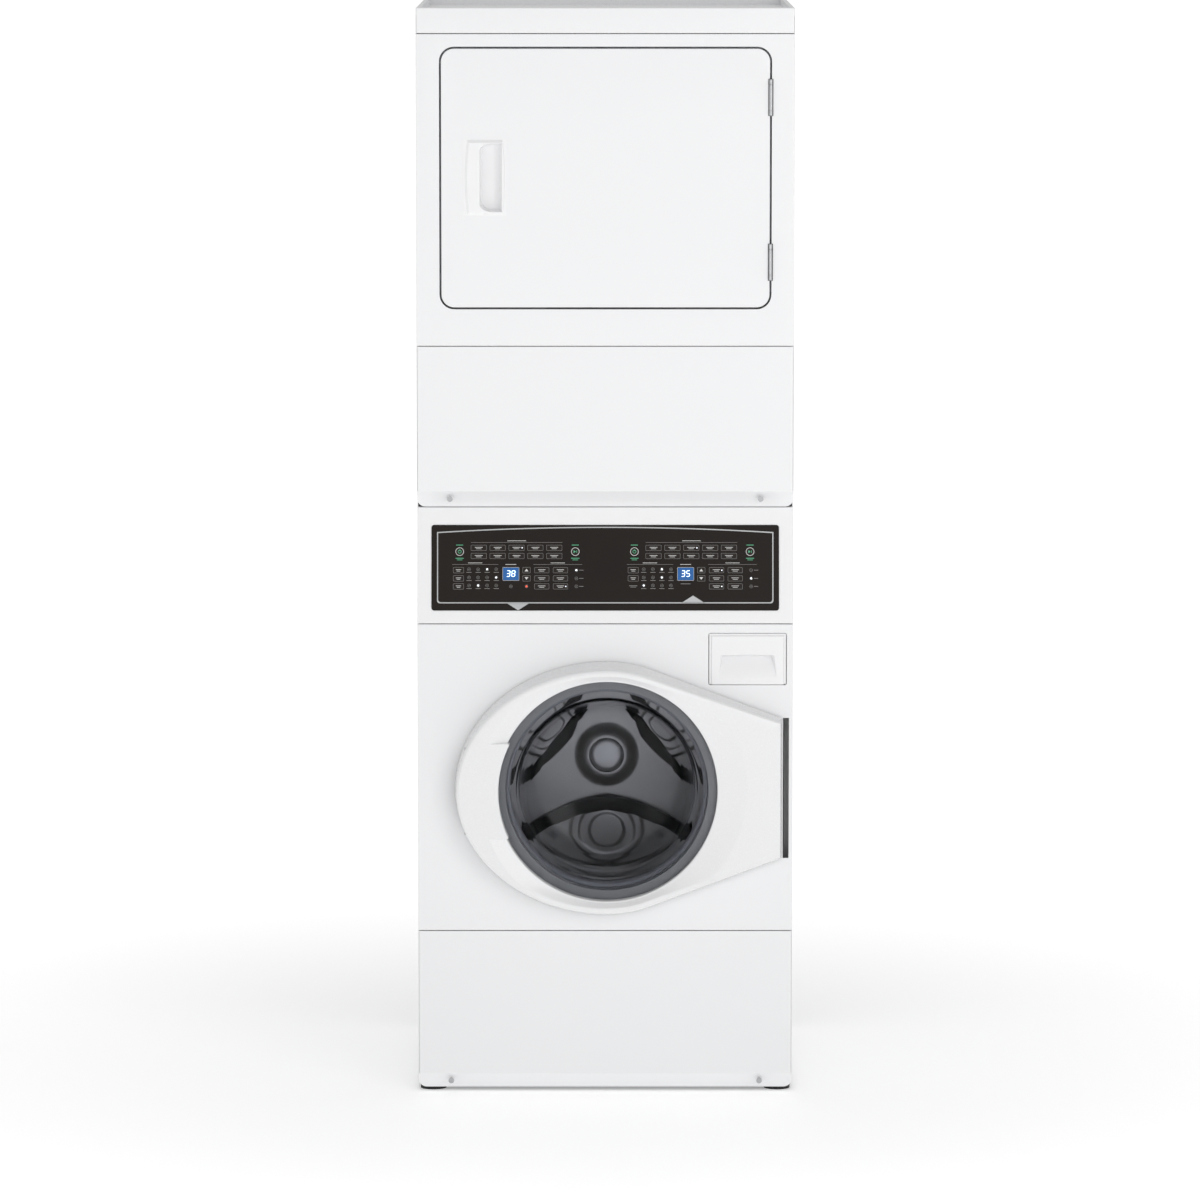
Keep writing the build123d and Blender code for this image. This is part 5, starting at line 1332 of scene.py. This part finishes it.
@dataclass
class DetergentDrawer:
    """The drawer: a fascia with a raised panel and a scoop, and a tray of three cells."""

    lip: float = 4.6
    lip_sink: float = 2.0
    rim: float = 0.9
    bevel: float = 1.0
    scoop_top: float = 6.3
    scoop_foot: float = -36.0
    scoop_half_top: float = 48.6
    scoop_half_foot: float = 52.8
    scoop_depth: float = 15.0
    scoop_arch: float = 1.2
    tray_inset: float = 8.0
    wall: float = 2.2
    fascia_depth: float = 17.0
    cell: float = 0.8

    def depth(self, x: float, z: float, half: Point2) -> float:
        """Return the depth behind the cabinet's face at a place on the fascia."""
        side = half[0] - abs(x)
        top = half[1] - z
        edge = min(side, top)
        sink = self.lip_sink * (1 - min(1.0, max(0.0, (edge - self.lip) / self.bevel)))
        foot = half[1] + z
        roll = max(0.0, 1.4 - min(side, top, foot)) ** 2 * 0.6
        return sink + roll + self.scoop(x, z)

    def scoop(self, x: float, z: float) -> float:
        """Return how deep the scoop is at a place."""
        top = self.scoop_top + self.scoop_arch * (1 - (x / self.scoop_half_top) ** 2)
        run = top - self.scoop_foot
        t = (z - self.scoop_foot) / run
        if t <= 0 or z >= top:
            return 0.0
        half = self.scoop_half_foot + (self.scoop_half_top - self.scoop_half_foot) * t
        inside = half - abs(x)
        if inside <= 0:
            return 0.0
        floor = self.scoop_depth * t ** 1.35
        return min(floor, inside * 2.6, (top - z) * 7.0)

    def tray(self, kit: MeshKit, low: Vector, high: Vector) -> None:
        """Add the tray: an open box with two partitions and rounded cell floors."""
        x0, x1 = low.x / MM + self.tray_inset, high.x / MM - self.tray_inset
        z0, z1 = low.z / MM + self.tray_inset, high.z / MM - self.tray_inset
        y0, y1 = low.y / MM + self.fascia_depth, high.y / MM
        shares = (0.0, 0.42, 0.74, 1.0)
        outline = [(x0, z1), (x0, z0 + 6), (x0 + 2, z0 + 2), (x0 + 6, z0), (x1 - 6, z0),
                   (x1 - 2, z0 + 2), (x1, z0 + 6), (x1, z1)]
        kit.grid([[(x * MM, y * MM, z * MM) for x, z in outline] for y in (y0, y1)])
        kit.fan([(x * MM, y1 * MM, z * MM) for x, z in outline])
        kit.fan([(x * MM, y0 * MM, z * MM) for x, z in outline], flip=True)
        for a, b in zip(shares, shares[1:]):
            left = x0 + (x1 - x0) * a + self.wall / (2 if a else 1)
            right = x0 + (x1 - x0) * b - self.wall / (1 if b == 1.0 else 2)
            foot, radius = z0 + self.wall, 7.0
            cell = [(left, z1)]
            for n in range(7):
                turn = math.pi / 2 * n / 6
                cell.append((left + radius * (1 - math.cos(turn)),
                             foot + radius * (1 - math.sin(turn))))
            for n in range(7):
                turn = math.pi / 2 * n / 6
                cell.append((right - radius * (1 - math.sin(turn)),
                             foot + radius * (1 - math.cos(turn))))
            cell.append((right, z1))
            front, rear = y0 + self.wall, y1 - self.wall
            kit.grid([[(x * MM, y * MM, z * MM) for x, z in cell] for y in (front, rear)])
            kit.fan([(x * MM, front * MM, z * MM) for x, z in cell])
            kit.fan([(x * MM, rear * MM, z * MM) for x, z in cell], flip=True)

    def build(self) -> None:
        """Build the fascia and the tray as two mouldings that ride on the drawer."""
        low, high = node_box("detergent_drawer")
        half = ((high.x - low.x) / 2 / MM + self.rim, (high.z - low.z) / 2 / MM + self.rim)
        kit = MeshKit("drawer_fascia_moulding")
        corner = (low.x / MM - self.rim, low.z / MM - self.rim)
        relief(kit, corner, (2 * half[0], 2 * half[1]), low.y / MM, self.cell,
               lambda x, z: self.depth(x, z, half), self.fascia_depth)
        made = kit.finish(WHITE_ABS.build(), smooth_angle=42.0)
        settle(made, "drawer", ["detergent_drawer"])
        tray = MeshKit("drawer_tray_cells")
        self.tray(tray, low, high)
        settle(tray.finish(WHITE_ABS.build(), smooth_angle=40.0), "drawer")


# ---------------------------------------------------------------- rear panel fittings


@dataclass(frozen=True)
class ServiceCover:
    """A bolted cover on the rear panel, centred at a place, in millimetres."""

    x: float
    z: float
    width: float
    height: float
    screws_across: int
    screws_up: int


@dataclass
class RearFittings:
    """Screws, service covers and pressed louvres on the galvanised rear panel."""

    seat: float = 0.05  # how far the pieces stand off the panel
    cover_sheet: float = 1.0
    cover_corner: float = 12.0
    margin: float = 10.0
    head_radius: float = 4.6
    head_height: float = 3.6
    washer_radius: float = 6.4
    edge_pitch: float = 226.0
    louvre: Point2 = (46.0, 5.0)
    louvre_rise: float = 4.0
    louvre_pitch: Point2 = (62.0, 15.0)
    louvre_rows: int = 7
    louvre_columns: int = 4
    louvre_at: Point2 = (0.0, 1772.0)
    covers: tuple[ServiceCover, ...] = (ServiceCover(3.0, 470.0, 380.0, 400.0, 4, 4),
                                        ServiceCover(0.0, 1500.0, 430.0, 300.0, 4, 3))
    rear: float = field(init=False)

    def __post_init__(self) -> None:
        """Take the rear panel's outer face from the frame."""
        self.low, self.high = node_box("rear_panel")
        self.rear = node_box("dryer_top")[1].y / MM

    def at(self, x: float, z: float, out: float) -> Point3:
        """Return a point at a height above the rear panel, in metres."""
        return (x * MM, (self.rear + out) * MM, z * MM)

    def slab(self, kit: MeshKit, x: float, z: float, outline: Sequence[Point2], low: float,
             high: float) -> None:
        """Add a flat piece with an outline round a place, between two heights."""
        kit.prism(*([self.at(x + a, z + b, height) for a, b in outline]
                    for height in (low, high)))

    def head(self, kit: MeshKit, x: float, z: float, base: float) -> None:
        """Add one hexagon screw with its flange, turned by chance."""
        turn = random.random() * math.pi
        for radius, count, low, high in (
                (self.washer_radius, 24, base, base + 1.0),
                (self.head_radius, 6, base + 1.0, base + self.head_height)):
            self.slab(kit, x, z, circle(radius, count, turn), low, high)

    def build(self) -> None:
        """Build the covers, the louvres and all the screws."""
        random.seed(5)
        plates, screws, ridges = (MeshKit("rear_service_covers"), MeshKit("rear_panel_screws"),
                                  MeshKit("rear_louvres"))
        for cover in self.covers:
            outline = rounded_rectangle(cover.width, cover.height, self.cover_corner, 6)
            self.slab(plates, cover.x, cover.z, outline, self.seat, self.cover_sheet)
            half_w = cover.width / 2 - self.margin
            half_h = cover.height / 2 - self.margin
            for n in range(cover.screws_across):
                x = cover.x - half_w + 2 * half_w * n / (cover.screws_across - 1)
                for z in (cover.z - half_h, cover.z + half_h):
                    self.head(screws, x, z, self.cover_sheet)
            for n in range(1, cover.screws_up - 1):
                z = cover.z - half_h + 2 * half_h * n / (cover.screws_up - 1)
                for x in (cover.x - half_w, cover.x + half_w):
                    self.head(screws, x, z, self.cover_sheet)
        low, high = self.low.z / MM + self.margin, self.high.z / MM - self.margin
        count = max(2, round((high - low) / self.edge_pitch))
        for n in range(count + 1):
            for x in (self.low.x / MM + self.margin, self.high.x / MM - self.margin):
                self.head(screws, x, low + (high - low) * n / count, self.seat)
        for row in range(self.louvre_rows):
            for column in range(self.louvre_columns):
                x = self.louvre_at[0] + (column - (self.louvre_columns - 1) / 2) \
                    * self.louvre_pitch[0]
                z = self.louvre_at[1] + (row - (self.louvre_rows - 1) / 2) * self.louvre_pitch[1]
                self.ridge(ridges, x, z)
        settle(plates.finish(GALVANISED.build(), bevel_mm=0.3, smooth_angle=40.0), "cabinet")
        settle(screws.finish(ZINC_PLATE.build(), bevel_mm=0.3, smooth_angle=35.0), "cabinet")
        settle(ridges.finish(GALVANISED.build(), smooth_angle=60.0), "cabinet")

    def ridge(self, kit: MeshKit, x: float, z: float) -> None:
        """Add one pressed louvre: a half-round hood, open below."""
        width, height = self.louvre
        rows = []
        for n in range(9):
            share = math.sin(math.pi * n / 8) ** 0.6
            px = x - width / 2 + width * n / 8
            rows.append([self.at(px, z + height * (0.5 - t), self.seat + self.louvre_rise * share
                                 * math.sin(math.pi / 2 * t)) for t in (0, 0.25, 0.5, 0.75, 1.0)])
        kit.grid(rows)
        kit.grid([[row[-1] for row in rows],
                  [self.at(x - width / 2 + width * n / 8, z - height * 0.42, self.seat)
                   for n in range(9)]])


# ---------------------------------------------------------------- soft bellows and lint screen


@dataclass
class DoorGasket:
    """The grey bellows from the port in the front panel to the tub's mouth.

    The profile is in millimetres: radius, then depth behind the cabinet's front face.
    """

    mouth: float = 189.5
    outside: tuple[Point2, ...] = ((183.0, 1.2), (185.7, 3.0), (185.7, 40.0), (184.0, 50.0),
                                   (188.4, 57.0), (188.4, 64.0), (183.6, 70.0), (183.6, 76.0),
                                   (188.4, 83.0), (189.5, 91.0), (189.5, 104.5))
    inside: tuple[Point2, ...] = ((182.6, 104.5), (182.2, 90.0), (179.6, 77.0), (179.2, 70.0),
                                  (184.0, 62.0), (183.6, 57.0), (178.4, 49.0), (176.6, 40.0),
                                  (176.2, 14.0), (177.4, 5.0), (179.8, 1.6))
    fixed_until: float = 46.0
    moving_from: float = 92.0
    count: int = 180

    def build(self) -> None:
        """Build the bellows as one fixed piece from the port to the tub's mouth."""
        low, high = node_box("washer_drum")
        x, z = (low.x + high.x) / 2, (low.z + high.z) / 2
        front = node_box("washer_front_panel")[0].y
        kit = MeshKit("door_bellows")
        rows = [[(x + a * MM, front + depth * MM, z + b * MM)
                 for a, b in circle(radius, self.count)]
                for radius, depth in self.outside + self.inside]
        kit.grid(rows + [rows[0]], closed=True)
        made = kit.finish(GREY_EPDM.build(), smooth_angle=70.0)
        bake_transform(made)
        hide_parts("door_gasket")
        LOG.info("%s follows the cabinet in front and the tub behind", made.name)


@dataclass
class LintScreen:
    """The lint filter: a frame with a fine screen and a finger grip along its top."""

    frame: float = 8.0
    grip: float = 18.0
    corner: float = 4.0
    thread: float = 0.35
    pitch: float = 3.4

    def build(self) -> None:
        """Build the cassette inside the space that its CAD solid holds."""
        low, high = (corner / MM for corner in node_box("lint_filter"))
        width, height = high.x - low.x, high.z - low.z
        middle = ((low.x + high.x) / 2, (low.z + high.z) / 2)
        kit = MeshKit("lint_screen_frame")

        def loop(outline: Sequence[Point2], y: float, lift: float = 0.0) -> list[Point3]:
            return [((middle[0] + a) * MM, y * MM, (middle[1] + b + lift) * MM)
                    for a, b in outline]

        outer = rounded_rectangle(width, height, self.corner)
        drop = (self.frame - self.grip) / 2
        inner = rounded_rectangle(width - 2 * self.frame, height - self.frame - self.grip, 2.0)
        rows = [loop(outer, low.y), loop(outer, high.y), loop(inner, high.y, drop),
                loop(inner, low.y, drop)]
        kit.grid(rows + [rows[0]], closed=True)
        grip = rounded_rectangle(width * 0.42, 5.0, 2.4)
        lift = height / 2 - self.grip / 2
        kit.prism(loop(grip, low.y - 0.1, lift), loop(grip, low.y + 1.0, lift))
        screen = MeshKit("lint_screen_threads")
        mid_y = (low.y + high.y) / 2
        half_w, half_h = width / 2 - self.frame, (height - self.frame - self.grip) / 2
        t = self.thread
        for reach, other, upright in ((half_w, half_h, True), (half_h, half_w, False)):
            count = int(2 * reach / self.pitch)
            for n in range(1, count):
                at = -reach + 2 * reach * n / count
                bar = [(at - t, -other), (at + t, -other), (at + t, other), (at - t, other)]
                outline = bar if upright else [(b, a) for a, b in bar]
                y = mid_y + (t if upright else -t)
                screen.prism(loop(outline, y - t, drop), loop(outline, y + t, drop))
        settle(kit.finish(GREY_PP.build(), bevel_mm=0.5, smooth_angle=40.0), "filter",
               ["lint_filter"])
        settle(screen.finish(GREY_PP.build(), smooth_angle=30.0), "filter")


# ---------------------------------------------------------------- everything carried over


@dataclass
class Cabinet:
    """The pieces whose CAD shape is already right: each gets its finish and its crisp edges."""

    sheet_angle: float = 28.0

    def table(self) -> list[tuple[Finish, tuple[str, ...]]]:
        """Return each finish with the pieces that have it."""
        return [
            (ENAMEL, ("dryer_side_left", "dryer_side_right", "dryer_top", "dryer_front_panel",
                      "dryer_access_panel", "washer_side_left", "washer_side_right",
                      "washer_front_panel", "washer_access_panel", "stack_deck",
                      "dryer_door_skin")),
            (GALVANISED, ("rear_panel", "base_frame", "dryer_front_bulkhead",
                          "dryer_rear_bulkhead", "exhaust_duct", "heater_box")),
            (WHITE_ABS, ("dryer_door_liner",)),
            (STAINLESS, ("dryer_drum",)),
            (TUB_PP, ("tub_front", "tub_rear", "drawer_housing", "blower_housing",
                      "dryer_drum_baffles")),
            (GREY_PP, ("blower_wheel", "drain_pump", "inlet_valves",
                       "power_gland", "drum_roller_left", "drum_roller_right")),
            (ZINC_PLATE, ("access_panel_screws", "dryer_hinge_knuckles", "dryer_hinge_pins",
                          "washer_hinge_bracket", "washer_door_lock", "leveling_legs",
                          "washer_motor_pulley", "tub_suspension")),
            (CAST_ALLOY, ("drum_pulley", "drum_spider")),
            (MOTOR_VARNISH, ("dryer_motor", "washer_motor")),
            (CONCRETE, ("counterweights",)),
            (BELT_RUBBER, ("dryer_belt", "washer_belt")),
            (BLACK_RUBBER_AND_PAINTED_SHADE, ("foot_pads",)),
        ]

    def build(self) -> None:
        """Dress every carried-over piece."""
        for finish, nodes in self.table():
            for node in nodes:
                if node in frame["nodes"]:
                    dress(node, finish, self.sheet_angle)
                    LOG.info("%s dressed in %s", node, finish.name)


# ---------------------------------------------------------------- studio


@dataclass(frozen=True)
class Softbox:
    """One large soft light, aimed at a place.

    Attributes:
        name: The lamp's name.
        place: Where it hangs, in metres.
        aim: What it points at, in metres.
        size: Its width and height, in metres.
        power: Its power in watts.
    """

    name: str
    place: Point3
    aim: Point3
    size: Point2
    power: float

    def build(self) -> None:
        """Hang the light."""
        lamp = bpy.data.lights.new(self.name, "AREA")
        lamp.shape = "RECTANGLE"
        lamp.size, lamp.size_y = self.size
        lamp.energy = self.power
        held = bpy.data.objects.new(self.name, lamp)
        held.location = self.place
        look = Vector(self.aim) - Vector(self.place)
        held.rotation_euler = look.to_track_quat("-Z", "Y").to_euler()
        bpy.context.scene.collection.objects.link(held)


@dataclass
class Studio:
    """A pale floor, soft light from all round and a long lens a little above the machine."""

    distance: float = 12.0
    eye_height: float = 2.326
    tilt: float = 6.722
    lens: float = 199.5
    aside: float = -0.0095
    floor_radius: float = 400.0
    floor_tone: str = "#FBFBFB"
    world_tone: str = "#FFFFFF"
    world_strength: float = 0.62
    near_glow: float = 0.28
    far_glow: float = 0.46
    glow_from: float = 0.45
    glow_to: float = 2.4

    def softboxes(self) -> list[Softbox]:
        """Return the studio's lights."""
        return [
            Softbox("key_softbox", (2.8, -6.0, 2.2), (0, -0.2, 1.0), (3.2, 3.2), 72.0),
            Softbox("fill_softbox", (-3.0, -6.2, 1.6), (0, -0.2, 1.0), (3.0, 3.0), 20.0),
        ]

    def floor(self) -> None:
        """Lay the floor."""
        paper = bpy.data.materials.new("studio_paper_matt")
        paper.use_nodes = True
        tree = paper.node_tree
        tree.nodes.clear()
        place = add_node(tree, "ShaderNodeTexCoord").outputs["Object"]
        fibre = add_node(tree, "ShaderNodeTexNoise", {"Scale": per_metre(4.0)},
                         {"Vector": place})
        bump = add_node(tree, "ShaderNodeBump", {"Strength": 0.05, "Distance": 0.02 * MM},
                        {"Height": fibre.outputs["Fac"]})
        away = add_node(tree, "ShaderNodeVectorMath", links={0: place}, operation="LENGTH")
        glow = add_node(tree, "ShaderNodeMapRange",
                        {"From Min": self.glow_from, "From Max": self.glow_to,
                         "To Min": self.near_glow, "To Max": self.far_glow},
                        {"Value": away.outputs["Value"]}, interpolation_type="SMOOTHSTEP")
        shader = add_node(tree, "ShaderNodeBsdfPrincipled",
                          {"Base Color": linear(self.floor_tone), "Roughness": 0.6,
                           "Specular IOR Level": 0.2,
                           "Emission Color": linear(self.world_tone)},
                          {"Normal": bump.outputs["Normal"],
                           "Emission Strength": glow.outputs["Result"]})
        add_node(tree, "ShaderNodeOutputMaterial", links={"Surface": shader.outputs["BSDF"]})
        kit = MeshKit("studio_floor")
        rows = [[(x * r, y * r, 0.0) for x, y in circle(1.0, 64)]
                for r in (0.001, 4.0, 40.0, self.floor_radius)]
        kit.grid(rows, closed=True)
        kit.finish(paper)

    def world(self) -> None:
        """Light everything evenly from all round."""
        world = bpy.data.worlds.new("studio_light_tent")
        world.use_nodes = True
        back = world.node_tree.nodes["Background"]
        back.inputs["Color"].default_value = linear(self.world_tone)
        back.inputs["Strength"].default_value = self.world_strength
        bpy.context.scene.world = world
        bpy.context.scene.view_settings.view_transform = "Standard"

    def camera(self) -> None:
        """Stand the camera in front, above the machine's top, tilted down a little."""
        front = node_box("dryer_front_panel")[0].y
        lens = bpy.data.cameras.new("studio_camera")
        lens.lens = self.lens
        lens.sensor_width = 36.0
        lens.clip_start = 0.5
        lens.clip_end = 900.0
        held = bpy.data.objects.new("studio_camera", lens)
        held.location = (self.aside, front - self.distance, self.eye_height)
        held.rotation_euler = (math.radians(90 - self.tilt), 0.0, 0.0)
        bpy.context.scene.collection.objects.link(held)
        bpy.context.scene.camera = held

    def build(self) -> None:
        """Set up the floor, the lights and the camera."""
        self.floor()
        self.world()
        self.camera()
        for box in self.softboxes():
            box.build()


def main() -> None:
    """Build the studio and then each part of the machine in order."""
    logging.basicConfig(level=logging.INFO, format="%(message)s")
    Studio().build()
    Cabinet().build()
    WasherDoor().build()
    WashDrum().build()
    DetergentDrawer().build()
    DryerDoorPull().build()
    ControlConsole().build()
    RearFittings().build()
    DoorGasket().build()
    LintScreen().build()


if __name__ == "__main__":
    main()
